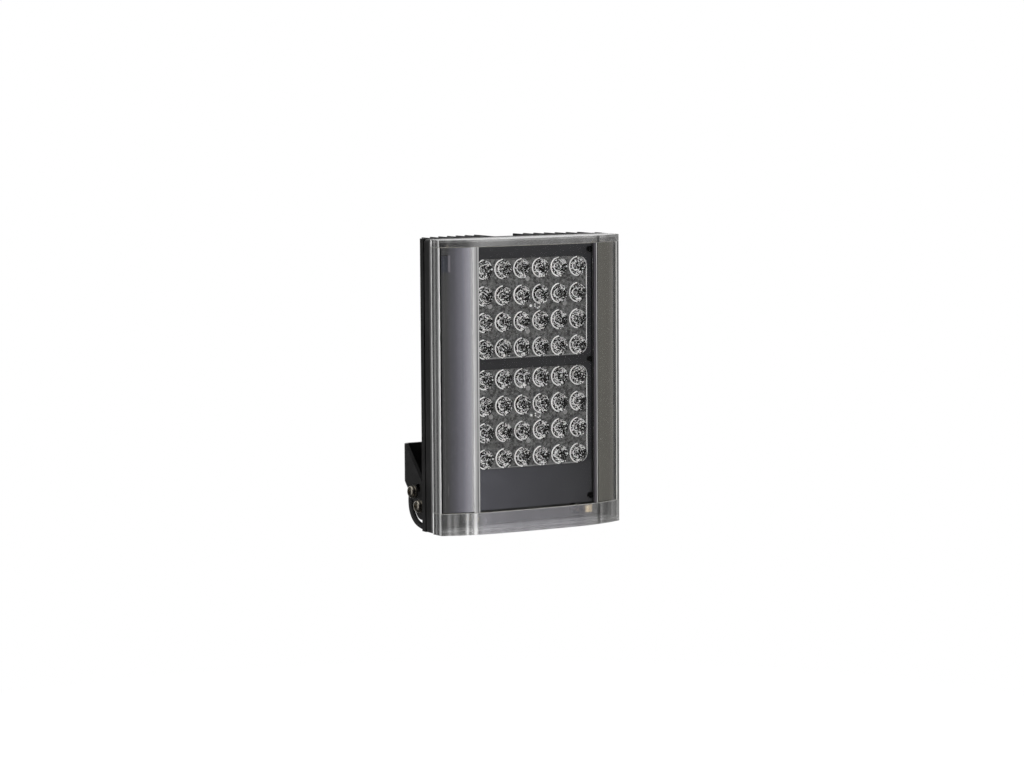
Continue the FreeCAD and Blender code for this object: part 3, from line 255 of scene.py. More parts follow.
def wing_film(name, stops, side, marks=()):
    """Tinted film behind the cover, its tone changing from its outer to its inner edge as painted
    light and shade.
    """
    nodes = material(name)
    tone = nodes.ramp(nodes.along("X", side * HALF_WIDTH, side * FILM_INNER), stops)
    for outline, mark_tone in marks:
        tone = nodes.mix(nodes.patch(*outline), tone, mark_tone)
    brushed = nodes.noise(1.0, roughness=0.6, vector=nodes.stretched((900.0, 900.0, 6.0)))
    return nodes.finish(nodes.surface(
        Base_Color=nodes.shade(tone, brushed, 0.9),
        Roughness=nodes.spread(brushed, 0.4, 0.5),
        Specular_IOR_Level=0.2,
        Normal=nodes.bump(brushed, 0.01)))


def frosted(name, stops, span, clear, streaks, axis="X", marks=()):
    """Frosted clear plastic, its tone changing along an axis as painted light and shade, with
    streaks of its own.
    """
    nodes = material(name)
    tone = nodes.ramp(nodes.along(axis, *span), stops)
    for outline, mark_tone in marks:
        tone = nodes.mix(nodes.patch(*outline), tone, mark_tone)
    streak = nodes.noise(1.0, vector=nodes.stretched(streaks))
    return nodes.finish_clear(nodes.surface(
        Base_Color=nodes.shade(tone, streak, 0.75),
        Roughness=nodes.spread(nodes.noise(90.0), 0.04, 0.12),
        IOR=PLASTIC_IOR,
        Transmission_Weight=clear,
        Normal=nodes.bump(streak, 0.04)))


# Powder coat: relief and roughness
COAT_RELIEF = 0.06
COAT_ROUGHNESS = (0.32, 0.5)
# Depth of the casting's front and rear, for the shares in its ramps
CASTING_FRONT = 27.0
CASTING_REAR = 83.0


def coat(nodes, dark, light):
    """Slight tone changes of a powder coat."""
    return nodes.mottle(nodes.noise(38.0, 4.0), dark, light, high=0.75)


def make_bracket_black():
    """Powder-coated sheet."""
    nodes = material("bracket_black")
    return nodes.finish(nodes.surface(
        Base_Color=coat(nodes, grey(20), grey(30)),
        Roughness=nodes.spread(nodes.noise(140.0), *COAT_ROUGHNESS),
        Normal=nodes.bump(nodes.noise(1200.0, 2.0), COAT_RELIEF),
        Specular_IOR_Level=0.25))


def make_casting_black():
    """Powder-coated casting, with a painted highlight along its front lip and painted shade in a
    band behind its flange.
    """
    nodes = material("casting_black")
    back = nodes.along("Y", CASTING_FRONT - DEPTH, CASTING_REAR - DEPTH)
    # Painted shade: a black band behind the flange, also without sheen there; and a painted
    # highlight along the front lip
    painted_groove_shade = nodes.ramp(back, [(0.19, WHITE), (0.2, grey(0)), (0.262, grey(0)), (0.275, WHITE)])
    lip = nodes.ramp(back, [(0.026, grey(72)), (0.045, grey(0))])
    shaded = nodes.mix(1.0, coat(nodes, grey(18), grey(30)), painted_groove_shade, blend_type="MULTIPLY")
    return nodes.finish(nodes.surface(
        Base_Color=nodes.mix(1.0, shaded, lip, blend_type="LIGHTEN"),
        Roughness=nodes.spread(nodes.noise(140.0), *COAT_ROUGHNESS),
        Normal=nodes.bump(nodes.noise(900.0, 2.0), COAT_RELIEF),
        Specular_IOR_Level=nodes.spread(painted_groove_shade, 0.0, 0.28)))


# Sides of the bezel's blank panel, and the height over the origin where its tone has ended
PANEL_SIDES = (-55.0, 60.0)
PANEL_TOP = 2.0


def make_bezel_black():
    """Fine-grained moulding, a little lighter on the blank panel under the modules, where painted
    light makes it lighter on the left and darker to the right.
    """
    nodes = material("bezel_black")
    # Painted light: the panel's tone falls from left to right
    panel = nodes.ramp(nodes.along("X", *PANEL_SIDES), [
        (0.0, colour(86, 86, 92)), (0.5, colour(70, 70, 74)), (1.0, colour(60, 60, 62))])
    tone = nodes.mix(nodes.along("Z", 0.0, PANEL_TOP), panel, colour(50, 50, 52))
    return nodes.finish(nodes.surface(
        Base_Color=nodes.shade(tone, nodes.noise(60.0, 4.0), 0.85),
        Roughness=nodes.spread(nodes.noise(300.0, 2.0), 0.4, 0.5),
        Specular_IOR_Level=0.3,
        Normal=nodes.bump(nodes.noise(2600.0, 2.0), 0.01)))


def make_painted_glints(name, low, high):
    """Moulded facets: dark, with painted glints where the noise is over a level."""
    nodes = material(name)
    return nodes.finish(nodes.surface(
        Base_Color=nodes.ramp(nodes.noise(760.0, 2.0), [
            (low - 0.1, grey(16)), (low, grey(34)), (high, grey(255))]),
        Roughness=nodes.spread(nodes.noise(900.0, 2.0), 0.15, 0.35),
        Specular_IOR_Level=0.4,
        Normal=nodes.bump(nodes.noise(520.0, 2.0), 0.3, 0.6)))


def make_plate_dark():
    """Front of the optics: dark board seen through clear plastic."""
    nodes = material("plate_dark")
    return nodes.finish(nodes.surface(
        Base_Color=nodes.mottle(nodes.noise(360.0, 4.0, 0.8), grey(48), grey(112), 0.4, 0.62),
        Roughness=nodes.spread(nodes.noise(420.0, 2.0), 0.18, 0.3),
        Normal=nodes.bump(nodes.noise(240.0), 0.08)))


# Cores: where they leave the lead, their direction and length, the share of the length where
# the sleeves end, and how far the upper core lies over the two others
CORE_START = (2.0, 87.0, 48.9)
CORE_WAY = (0.1893, 0.8832, -0.429)
CORE_LENGTH = 9.0
CORE_BARE = 0.55
CORE_UPPER = 0.4


def make_core_ends():
    """Three cores in red, black and white sleeves, their stripped ends of bright copper."""
    nodes = material("core_ends")
    shifted = nodes.add("ShaderNodeVectorMath", {0: nodes.coordinates, 1: place(*CORE_START)},
                        operation="SUBTRACT").outputs["Vector"]
    way = Vector(CORE_WAY)
    across = way.cross(Vector((0, 0, 1))).normalized()
    up = across.cross(way)
    bare = nodes.maths("GREATER_THAN", nodes.dot(shifted, way), CORE_LENGTH * CORE_BARE * MM)
    right = nodes.maths("GREATER_THAN", nodes.dot(shifted, across), 0.0)
    upper = nodes.maths("GREATER_THAN", nodes.dot(shifted, up), CORE_UPPER * MM)
    sleeves = nodes.mix(upper, nodes.mix(right, grey(24), grey(205)), colour(168, 30, 26))
    strands = nodes.noise(1.0, roughness=0.6, vector=nodes.stretched((2600.0, 400.0, 2600.0)))
    copper = nodes.mottle(strands, colour(150, 86, 50), colour(225, 150, 104), 0.35, 0.65)
    return nodes.finish(nodes.surface(
        Base_Color=nodes.mix(bare, sleeves, copper),
        Metallic=bare,
        Roughness=nodes.spread(strands, 0.3, 0.45),
        Normal=nodes.bump(strands, 0.08)))


stainless = bare_metal("stainless", colour(205, 198, 184))
zinc_washer = bare_metal("zinc_washer", colour(165, 163, 158), rough=(0.3, 0.5))
brass = bare_metal("brass", colour(222, 196, 140), rough=(0.2, 0.35))
dark_screw = bare_metal("dark_screw", grey(70), rough=(0.25, 0.4))
black_screw = bare_metal("black_screw", grey(30), rough=(0.3, 0.45))
cover_clear = clear_plastic("cover_clear", (0.93, 0.93, 0.93))
insert_clear = clear_plastic("insert_clear", (0.9, 0.9, 0.9))
board_dark = moulded("board_dark", grey(40), grey(62))
cable_black = moulded("cable_black", grey(24), grey(34), rough=(0.35, 0.5), grain=500.0)
gasket_pale = moulded("gasket_pale", grey(150), grey(172), rough=(0.7, 0.85))
led_yellow = moulded("led_yellow", grey(120), grey(170), rough=(0.2, 0.3))
parts_dark = moulded("parts_dark", grey(30), grey(60), rough=(0.3, 0.5))
gland_black = moulded("gland_black", grey(26), grey(36), rough=(0.45, 0.6))
# Painted highlight of the collimators' rims and collars, a white that the plate's marks also use,
# and painted shade of their cups
highlight_and_mark_white = moulded("highlight_and_mark_white", grey(215), grey(255), rough=(0.12, 0.2), grain=2500.0)
cup_painted_shade = moulded("cup_painted_shade", grey(20), grey(38), rough=(0.12, 0.22), grain=2500.0)
foot_pale = moulded("foot_pale", grey(112), grey(148), rough=(0.3, 0.4))
# Painted glints of the collimators' facets, dense and sparse
painted_glints_dense = make_painted_glints("painted_glints_dense", 0.46, 0.53)
painted_glints_sparse = make_painted_glints("painted_glints_sparse", 0.54, 0.6)
plate_dark = make_plate_dark()
bezel_black = make_bezel_black()
casting_black = make_casting_black()
bracket_black = make_bracket_black()
core_ends = make_core_ends()

# Marks: across, half width, height, half height and soft edge, then the tone.
# The film has a darker tab with painted shade along its upper edge and a painted highlight along
# its right edge, and a short painted highlight line lower down.
FILM_TAB_SHADE_AND_HIGHLIGHTS = [
    ((-84.6, 4.4, 105.7, 6.9, 0.3), colour(64, 66, 72)),
    ((-84.4, 4.0, 112.8, 0.3, 0.3), grey(42)),
    ((-79.2, 0.5, 105.9, 6.8, 0.6), colour(118, 116, 122)),
    ((-81.0, 0.3, -87.4, 3.6, 0.6), colour(98, 97, 99)),
]
# The lower bar shows the brass of an insert behind it
BAR_MARKS = [((50.7, 3.3, -111.2, 2.6, 0.9), colour(222, 207, 184))]
# How fast the streaks change along each axis
STRIP_STREAKS = (500.0, 500.0, 20.0)
BAR_STREAKS = (120.0, 120.0, 12.0)
SIDE_STREAKS = (60.0, 300.0, 6.0)
SHOULDER_STREAKS = (300.0, 300.0, 6.0)
EDGE_STREAKS = (300.0, 300.0, 60.0)
# Share of the light that goes through
STRIP_CLEAR = 0.15
BAR_CLEAR = 0.68
SIDE_CLEAR = 0.45
EDGE_CLEAR = 0.3
# Depth where the tones of the side walls start and end
SIDE_DEPTHS = (13.0, 26.5)

# Left film: its tone is a painted reflection, dark at the outer edge and light at the inner edge,
# with a slight lilac tint between
film_left_painted_reflection = wing_film("film_left_painted_reflection", [
    (0.0, grey(66)), (0.25, grey(74)), (0.45, colour(92, 91, 97)), (0.65, colour(121, 120, 128)),
    (0.82, colour(157, 156, 164)), (1.0, grey(190))], side=-1, marks=FILM_TAB_SHADE_AND_HIGHLIGHTS)
# Right film: an even olive tint, lighter at the outer edge, with painted shade in a dark band along
# its inner edge behind the right strip
film_right_painted_inner_shade = wing_film("film_right_painted_inner_shade", [
    (0.0, grey(110)), (0.25, colour(102, 100, 96)), (0.86, colour(99, 98, 93)),
    (0.9, grey(48)), (1.0, grey(44))], side=1)
# Left strip: painted light, falling from its outer edge, with a darker band and a light line near
# its inner edge
strip_painted_lit = frosted("strip_painted_lit", [
    (0.0, grey(178)), (0.12, grey(170)), (0.25, grey(148)), (0.6, grey(120)), (0.68, grey(88)),
    (0.78, grey(88)), (0.86, grey(150)), (1.0, grey(150))],
    (-STRIP_OUTER, -STRIP_INNER), STRIP_CLEAR, STRIP_STREAKS)
# Right strip: painted shade, near black at its inner edge, with a painted highlight line near its
# outer edge
strip_painted_shade = frosted("strip_painted_shade", [
    (0.0, grey(8)), (0.18, grey(14)), (0.34, colour(60, 57, 62)), (0.5, colour(64, 61, 66)),
    (0.78, grey(62)), (0.83, grey(158)), (0.91, grey(158)), (0.94, grey(60))],
    (STRIP_INNER, STRIP_OUTER), STRIP_CLEAR, STRIP_STREAKS)
# Lower bar: a grey tone with painted glints towards its left end, and painted shade beside a
# painted highlight near its right end
bar_frosted_painted_glints = frosted("bar_frosted_painted_glints", [
    (0.0, grey(84)), (0.028, grey(96)), (0.042, grey(165)), (0.055, grey(105)),
    (0.07, grey(160)), (0.09, grey(96)), (0.112, grey(120)), (0.124, grey(250)),
    (0.136, grey(120)), (0.15, grey(190)), (0.165, grey(255)), (0.178, grey(130)),
    (0.2, colour(156, 155, 160)), (0.45, colour(141, 140, 145)), (0.75, colour(132, 131, 135)),
    (0.83, grey(150)), (0.85, grey(50)), (0.862, grey(160)), (0.88, grey(112)),
    (1.0, grey(130))],
    (-HALF_WIDTH, HALF_WIDTH), BAR_CLEAR, BAR_STREAKS, marks=BAR_MARKS)
# Upper bar: a grey tone with painted highlights towards its left end, and painted shade beside a
# painted highlight near its right end
bar_top_painted_highlights = frosted("bar_top_painted_highlights", [
    (0.0, grey(60)), (0.03, grey(70)), (0.045, grey(110)), (0.07, grey(80)), (0.13, grey(104)),
    (0.17, grey(150)), (0.2, grey(168)), (0.3, grey(150)), (0.45, grey(138)), (0.7, grey(140)),
    (0.83, grey(150)), (0.85, grey(60)), (0.862, grey(170)), (0.9, grey(130)), (1.0, grey(110))],
    (-HALF_WIDTH, HALF_WIDTH), BAR_CLEAR, BAR_STREAKS)
# Side walls: painted light, with painted highlights at the front and the rear and bands of painted
# reflection between them
side_painted_light = frosted("side_painted_light", [
    (0.0, grey(190)), (0.09, grey(205)), (0.18, grey(160)), (0.26, grey(104)), (0.36, grey(88)),
    (0.46, grey(112)), (0.56, grey(150)), (0.66, grey(100)), (0.78, grey(76)), (0.86, grey(80)),
    (0.88, grey(255)), (1.0, grey(255))],
    tuple(depth - DEPTH for depth in SIDE_DEPTHS), SIDE_CLEAR, SIDE_STREAKS, axis="Y")
# Right shoulder: the film's olive, then a painted highlight line, then painted shade darkening to
# near black at the outer edge
shoulder_highlight_and_shade = frosted("shoulder_highlight_and_shade", [
    (0.0, colour(132, 130, 124)), (0.14, colour(138, 136, 130)), (0.2, grey(175)),
    (0.32, grey(175)), (0.38, grey(100)), (0.7, grey(60)), (1.0, grey(12))],
    (SHOULDER, HALF_WIDTH), EDGE_CLEAR, SHOULDER_STREAKS)
# Eased edges: pale as a painted highlight
edge_painted_highlight = frosted("edge_painted_highlight", [(0.0, grey(215)), (1.0, grey(228))],
                    (-HALF_WIDTH, HALF_WIDTH), EDGE_CLEAR, EDGE_STREAKS)

FINISHES = {
    "front_cover": cover_clear,
    "lens_insert": insert_clear,
    "wing_mask_left": film_left_painted_reflection,
    "wing_mask_right": film_right_painted_inner_shade,
    "cover_inserts": brass,
    "bezel": bezel_black,
    "optic_upper": plate_dark,
    "optic_lower": plate_dark,
    "led_board_upper": board_dark,
    "led_board_lower": board_dark,
    "leds_upper": led_yellow,
    "leds_lower": led_yellow,
    "driver_board": board_dark,
    "driver_parts": parts_dark,
    "gasket": gasket_pale,
    "heatsink": casting_black,
    "wall_bracket": bracket_black,
    "pivot_bolts": stainless,
    "lock_bolts": stainless,
    "pivot_washers": zinc_washer,
    "lock_washers": zinc_washer,
    "bezel_screws": black_screw,
    "cover_screws": dark_screw,
    "board_screws": dark_screw,
    "driver_screws": dark_screw,
    "gland_body": gland_black,
    "gland_nut": gland_black,
    "lead": cable_black,
    "lead_hank": cable_black,
    "hank_tie": cable_black,
    "lead_tail": cable_black,
    "lead_end": core_ends,
}

for node, finish in FINISHES.items():
    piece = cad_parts[node]
    for slot in piece.material_slots:
        slot.material = finish
    if not piece.material_slots:
        piece.data.materials.append(finish)


def dress(node, ending, mesh, finishes, sharp_angle=None):
    """Put a mesh in the place of one of the head's nodes."""
    data = bpy.data.meshes.new(node + ending)
    mesh.to_mesh(data)
    mesh.free()
    if sharp_angle:
        data.set_sharp_from_angle(angle=math.radians(sharp_angle))
    for finish in finishes:
        data.materials.append(finish)
    piece = bpy.data.objects.new(node + ending, data)
    bpy.context.collection.objects.link(piece)
    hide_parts(node)
    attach(piece, "head")


# Clear front with eased edges

# Slots of the window and of the cover: clear, eased edge, side wall, left strip or lower bar,
# right strip or upper bar, shoulder
CLEAR, EDGE, SIDE, LEFT_OR_LOWER, RIGHT_OR_UPPER, ROUNDED = range(6)
EASE = 0.8
EASE_SEGMENTS = 2
# Angles in degrees: faces taken as one plane, edges that are eased, edges shaded as sharp
FLAT_ANGLE = 0.6
CREASE_ANGLE = 30
SHARP_ANGLE = 9
# Parts of a unit normal that tell which way a face looks
FACES_SIDE = 0.8
FACES_FRONT = -0.5
LEANS = 0.3
# Vertices closer than this are joined
WELD = 0.001
# An edge is eased on the rim of the box, at the window's ends, or where it stands upright on a
# shoulder, but not at the rear
RIM_REACH = 0.1
END_REACH = 0.5
UPRIGHT = 4.0
SHOULDER_WIDTH = 4.0
SHOULDER_DEPTH = 5.0
REAR_MARGIN = 1.0


def near(value, targets, reach):
    """True if a value is within reach of one of the targets."""
    return min(abs(value - target) for target in targets) < reach


def on_side(centre, normal):
    """True for a face of the outer side walls."""
    outward = abs(normal.x) > FACES_SIDE and normal.x * centre.x > 0
    return outward and abs(centre.x) / MM > SIDE_WALL


def insert_finish(centre, normal):
    """Slot of a face of the window."""
    if on_side(centre, normal):
        return SIDE
    # Only the right shoulder takes the painted highlight and shade
    if normal.y < FACES_FRONT and centre.x / MM > SHOULDER:
        return ROUNDED
    if normal.y > FACES_FRONT or not STRIP_INNER < abs(centre.x) / MM < STRIP_OUTER:
        return CLEAR
    return LEFT_OR_LOWER if centre.x < 0 else RIGHT_OR_UPPER


def cover_finish(centre, normal):
    """Slot of a face of the cover."""
    if on_side(centre, normal):
        return SIDE
    height = centre.z / MM - MIDDLE
    if normal.y > FACES_FRONT or INSERT_LOW < height < INSERT_HIGH:
        return CLEAR
    return LEFT_OR_LOWER if height < 0 else RIGHT_OR_UPPER


def is_outer_edge(edge, low, high):
    """True for a crease on the outside of a clear piece whose box is given in metres."""
    if len(edge.link_faces) != 2 or edge.calc_face_angle() < math.radians(CREASE_ANGLE):
        return False
    first, second = (vertex.co for vertex in edge.verts)
    middle = (first + second) / 2
    rim = (near(middle.z, (low[2], high[2]), RIM_REACH * MM)
           or near(middle.x, (low[0], high[0]), RIM_REACH * MM)
           or near(middle.z / MM - MIDDLE, (INSERT_LOW, INSERT_HIGH), END_REACH))
    shoulder = (abs(first.z - second.z) > UPRIGHT * MM
                and abs(middle.x) > high[0] - SHOULDER_WIDTH * MM
                and middle.y < high[1] - SHOULDER_DEPTH * MM)
    return (rim or shoulder) and middle.y < high[1] - REAR_MARGIN * MM


def make_clear(node, finishes, finish_of):
    """Clear node with its outer edges eased and a finish for each face."""
    mesh = bmesh.new()
    mesh.from_mesh(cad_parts[node].data)
    bmesh.ops.remove_doubles(mesh, verts=mesh.verts, dist=WELD * MM)
    bmesh.ops.dissolve_limit(mesh, angle_limit=math.radians(FLAT_ANGLE),
                             use_dissolve_boundaries=False, verts=mesh.verts, edges=mesh.edges)
    low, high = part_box(node)
    edges = [edge for edge in mesh.edges if is_outer_edge(edge, low, high)]
    eased = bmesh.ops.bevel(mesh, geom=edges, offset=EASE * MM, segments=EASE_SEGMENTS,
                            profile=0.5, affect="EDGES", clamp_overlap=True)["faces"]
    for face in mesh.faces:
        face.normal_update()
        face.smooth = True
        face.material_index = finish_of(face.calc_center_median(), face.normal)
    reach = 1.5 * EASE
    # Eased faces take the painted highlight, but those at the right end, on the underside and at
    # the upper seat take the shoulder's finish and stay darker, as painted shade
    for face in eased:
        middle = face.calc_center_median()
        right_end = middle.x / MM > SHOULDER and face.normal.x > LEANS
        underside = middle.z < low[2] + reach * MM and face.normal.z < -LEANS
        top_seat = abs(middle.z / MM - MIDDLE - INSERT_HIGH) < reach
        face.material_index = ROUNDED if right_end or underside or top_seat else EDGE
    dress(node, "_eased", mesh, finishes, SHARP_ANGLE)


make_clear("lens_insert", (insert_clear, edge_painted_highlight, side_painted_light, strip_painted_lit, strip_painted_shade,
                           shoulder_highlight_and_shade), insert_finish)
make_clear("front_cover", (cover_clear, edge_painted_highlight, side_painted_light, bar_frosted_painted_glints, bar_top_painted_highlights,
                           shoulder_highlight_and_shade), cover_finish)


# Share of the right mask's inner lip that is kept, so that it clears the bezel's screws
LIP_KEEP = 0.45


def trim_mask(node):
    """Wing mask with a narrower inner lip."""
    mesh = bmesh.new()
    mesh.from_mesh(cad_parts[node].data)
    for vertex in mesh.verts:
        over = STRIP_OUTER * MM - abs(vertex.co.x)
        if over > 0:
            vertex.co.x = math.copysign(STRIP_OUTER * MM - over * LIP_KEEP, vertex.co.x)
    dress(node, "_film", mesh, [FINISHES[node]])


trim_mask("wing_mask_right")


# Lead

# From the gland down, round under the left arm and up to the hank: across, depth, height
LEAD_ROUTE = [
    (0.0, 60.0, -89.0),
    (0.0, 60.0, -102.0),
    (-1.5, 61.0, -115.0),
    (-9.0, 64.5, -126.5),
    (-22.0, 68.5, -131.0),
    (-38.0, 70.5, -131.2),
    (-53.5, 72.0, -130.6),
    (-66.5, 75.5, -129.4),
    (-73.5, 83.0, -126.0),
    (-75.7, 89.5, -118.0),
    (-75.8, 93.0, -108.0),
    (-74.6, 93.9, -97.0),
    (-69.0, 91.4, -88.0),
    (-59.0, 87.8, -81.5),
    (-46.0, 85.0, -77.0),
    (-32.5, 84.0, -72.0),
    (-20.5, 84.2, -63.5),
    (-15.5, 83.7, -50.0),
]
# Hank: half its width, heights where its two bows start, depth of its first turn, depth from
# one turn to the next, and number of turns
HANK_HALF = 15.0
HANK_LOW = -44.4
HANK_HIGH = 30.6
HANK_REAR = 78.5
HANK_PITCH = 5.03
HANK_TURNS = 6
# The curve runs inside its points, so the points of a bow lie a little wider
BOW_SPREAD = 1.05
BOW_STEPS = 4
TAIL_ROUTE = [
    (-7.0, 50.0, 50.7),
    (-4.5, 60.0, 52.1),
    (-2.0, 70.5, 52.5),
    (0.5, 80.0, 52.3),
    CORE_START,
]
LEAD_DIAMETER = 5.0


def hank_points():
    """Turns of the hank: over the top, down its right run, under the bottom, up its left run."""
    bow = HANK_HALF * BOW_SPREAD
    around = []
    for side, base in ((-1, HANK_HIGH), (1, HANK_LOW)):
        for step in range(BOW_STEPS + 1):
            angle = math.radians(180 - 180 * step / BOW_STEPS)
            around.append((-side * bow * math.cos(angle), base - side * bow * math.sin(angle)))
        around.append((-side * HANK_HALF, (HANK_HIGH + HANK_LOW) / 2))
    count = len(around)
    return [(across, HANK_REAR - HANK_PITCH * (turn + index / count), height)
            for turn in range(HANK_TURNS) for index, (across, height) in enumerate(around)]


def make_lead():
    """The whole lead as one round curve."""
    route = LEAD_ROUTE + hank_points() + TAIL_ROUTE
    curve = bpy.data.curves.new("lead_cable", "CURVE")
    curve.dimensions = "3D"
    curve.bevel_depth = LEAD_DIAMETER / 2 * MM
    curve.bevel_resolution = 6
    curve.resolution_u = 8
    curve.use_fill_caps = True
    spline = curve.splines.new("NURBS")
    spline.points.add(len(route) - 1)
    for point, spot in zip(spline.points, route):
        point.co = (*place(*spot), 1.0)
    spline.order_u = 3
    spline.use_endpoint_u = True
    cable = bpy.data.objects.new("lead_cable", curve)
    bpy.context.collection.objects.link(cable)
    cable.data.materials.append(cable_black)
    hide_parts("lead", "lead_hank", "lead_tail")
    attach(cable, "head")
    return cable


lead = make_lead()


# Optics: plates with 24 collimators each

# Height of each plate's middle
MODULES = {"optic_upper": 65.67, "optic_lower": -28.93}
FIRST_SEED = 7
OPTIC_FRONT = 13.1
OPTIC_BACK = 23.4
OPTIC_HALF_ACROSS = 55.5
OPTIC_HALF_UP = 42.88
OPTIC_CORNER = 9.0
CORNER_STEPS = 8
# Edge of a plate from its back to its front: inset, depth under the front
PLATE_EDGE = [(0.0, OPTIC_BACK - OPTIC_FRONT), (0.0, 0.3), (0.08, 0.0)]
BEAD_INSET = 0.75
BEAD_RADIUS = 0.5
BEAD_SINK = 0.1
BEAD_SIDES = 8
LENS_COLUMNS = 6
LENS_ROWS = 4
PITCH_ACROSS = 18.42
PITCH_UP = 22.72
LENS_STEPS = 60
LENS_RIM = 8.68
# A triangle belongs to a hole when its middle is this far inside the hole's rim
HOLE_MARGIN = 0.02
# Allowances for rounding: at the outline of the plate, and between points that count as one
OUTLINE_ALLOWANCE = 1e-6
POINT_ALLOWANCE = 1e-5
# Slots of a plate
# Slots: painted highlight and white marks, painted shade, dense and sparse painted glints, plate,
# pale feet
HIGHLIGHT_AND_MARK, PAINTED_SHADE, DENSE, SPARSE, PLATE, FOOT = range(6)
# Rings of a collimator from its rim inwards: radius, depth under the plate, ripple
LENS_RINGS = [
    (8.62, -0.4, 0.0),
    (8.4, -0.6, 0.0),
    (7.75, -0.6, 0.0),
    (7.6, 0.1, 0.0),
    (7.45, 0.8, 0.0),
    (7.1, 1.4, 0.15),
    (6.7, 2.0, 0.25),
    (6.3, 2.6, 0.3),
    (5.9, 3.2, 0.3),
    (5.5, 3.8, 0.3),
    (5.1, 4.2, 0.25),
    (4.7, 3.9, 0.15),
    (4.4, 3.0, 0.05),
    (4.1, 2.5, 0.0),
    (3.65, 2.4, 0.0),
    (3.3, 3.0, 0.05),
    (2.9, 3.8, 0.1),
    (2.4, 4.3, 0.1),
    (1.9, 4.4, 0.05),
    (1.4, 4.2, 0.0),
    (0.8, 4.1, 0.0),
]
RIM_RINGS = 3
# A ripple runs round a ring in one of these numbers of waves, each point scattered by a share
RIPPLE_WAVES = (9, 10, 11)
RIPPLE_SCATTER = 0.5
# The painted pattern of glints shifts with depth, as what a deep facet shows lies to one side of it
LEAN_ACROSS = 0.57
LEAN_UP = 0.1
# Sectors of the painted pattern of highlights, glints and shade, in degrees, anticlockwise from the
# right
RIM_LIGHT = (97, 263)
RIM_GLINTS = (263, 310)
COLLAR_LIGHT = (75, 290)
UPPER_GLINTS = (26, 84)
LOWER_GLINTS = (252, 302)
LEFT_SHADE = (95, 255)
RIGHT_SHADE = (-60, 26)
# Places and radii of the pattern, as shares of the rim's radius
TIP_PLACE = (-0.3, 0.02)
TIP_RADIUS = 0.12
COLLAR_SHIFT = 0.15
COLLAR_INNER = 0.37
COLLAR_OUTER = 0.47
UPPER_INNER = 0.5
LOWER_INNER = 0.55
LOWER_OUTER = 0.88
SHADE_INNER = 0.8
# Chance of a painted glint on a facet
COLLAR_CHANCE = 0.75
SHADE_CHANCE = 0.45
# Marks of a plate: feet, location dots, and a dome with a ring of small ones near the middle.
# Places are across and up, and sizes are radius and rise.
DOME_PROFILE = ((1.0, -0.05), (0.95, 0.35), (0.75, 0.75), (0.4, 0.95))
FOOT_PLACES = ((0, PITCH_UP), (0, -PITCH_UP), (2 * PITCH_ACROSS, 0), (-2 * PITCH_ACROSS, 0))
FOOT_SHIFT = (-3.8, 2.4)
FOOT_SIZE = (2.2, 0.08)
DOT_SHIFT = -1.95
DOT_SIZE = (0.8, 1.0)
MIDDLE_DOME_PLACE = (-0.8, 1.5)
MIDDLE_DOME_SIZE = (1.2, 0.7)
RING_PLACE = (5.6, 1.8)
RING_RADIUS = 2.5
RING_DOMES = 9
RING_DOME_SIZE = (0.65, 1.0)


def within(angle, sector):
    """True if an angle in degrees lies in a sector taken anticlockwise."""
    start, stop = sector
    return (angle - start) % 360 <= (stop - start) % 360


def lens_finish(ring, across, up, depth, draw):
    """Slot of a face of a collimator: painted highlights, glints and shade, placed by sector, reach
    and depth.
    """
    if ring < RIM_RINGS:
        angle = math.degrees(math.atan2(up, across))
        if within(angle, RIM_LIGHT):
            return HIGHLIGHT_AND_MARK
        return SPARSE if within(angle, RIM_GLINTS) else PLATE
    across = (across - LEAN_ACROSS * depth) / LENS_RIM
    up = (up + LEAN_UP * depth) / LENS_RIM
    reach = math.hypot(across, up)
    angle = math.degrees(math.atan2(up, across))
    collar = math.hypot(across + COLLAR_SHIFT, up)
    if math.hypot(across - TIP_PLACE[0], up - TIP_PLACE[1]) < TIP_RADIUS:
        return FOOT
    if COLLAR_INNER < collar < COLLAR_OUTER:
        around_collar = math.degrees(math.atan2(up, across + COLLAR_SHIFT))
        return HIGHLIGHT_AND_MARK if within(around_collar, COLLAR_LIGHT) else SPARSE
    if collar < COLLAR_INNER:
        return SPARSE if draw.random() < COLLAR_CHANCE else PAINTED_SHADE
    if within(angle, UPPER_GLINTS) and reach > UPPER_INNER:
        return DENSE
    if within(angle, LOWER_GLINTS) and LOWER_INNER < reach < LOWER_OUTER:
        return DENSE
    if within(angle, LEFT_SHADE) and reach > SHADE_INNER:
        return PAINTED_SHADE
    if within(angle, RIGHT_SHADE):
        return SPARSE if draw.random() < SHADE_CHANCE else PAINTED_SHADE
    return SPARSE


def rounded_loop(inset):
    """Corners of the plate's outline, set in by a distance, anticlockwise round its middle."""
    corner = OPTIC_CORNER - inset
    loop = []
    for turn, (side, end) in enumerate(((1, 1), (-1, 1), (-1, -1), (1, -1))):
        for step in range(CORNER_STEPS + 1):
            angle = math.radians(90 * turn + 90 * step / CORNER_STEPS)
            loop.append((
                side * (OPTIC_HALF_ACROSS - inset - corner) + corner * math.cos(angle),
                end * (OPTIC_HALF_UP - inset - corner) + corner * math.sin(angle)))
    return loop


def inside_plate(across, up):
    """True on the front of the plate."""
    reach_across = max(abs(across) - (OPTIC_HALF_ACROSS - OPTIC_CORNER), 0)
    reach_up = max(abs(up) - (OPTIC_HALF_UP - OPTIC_CORNER), 0)
    return math.hypot(reach_across, reach_up) < OPTIC_CORNER + OUTLINE_ALLOWANCE


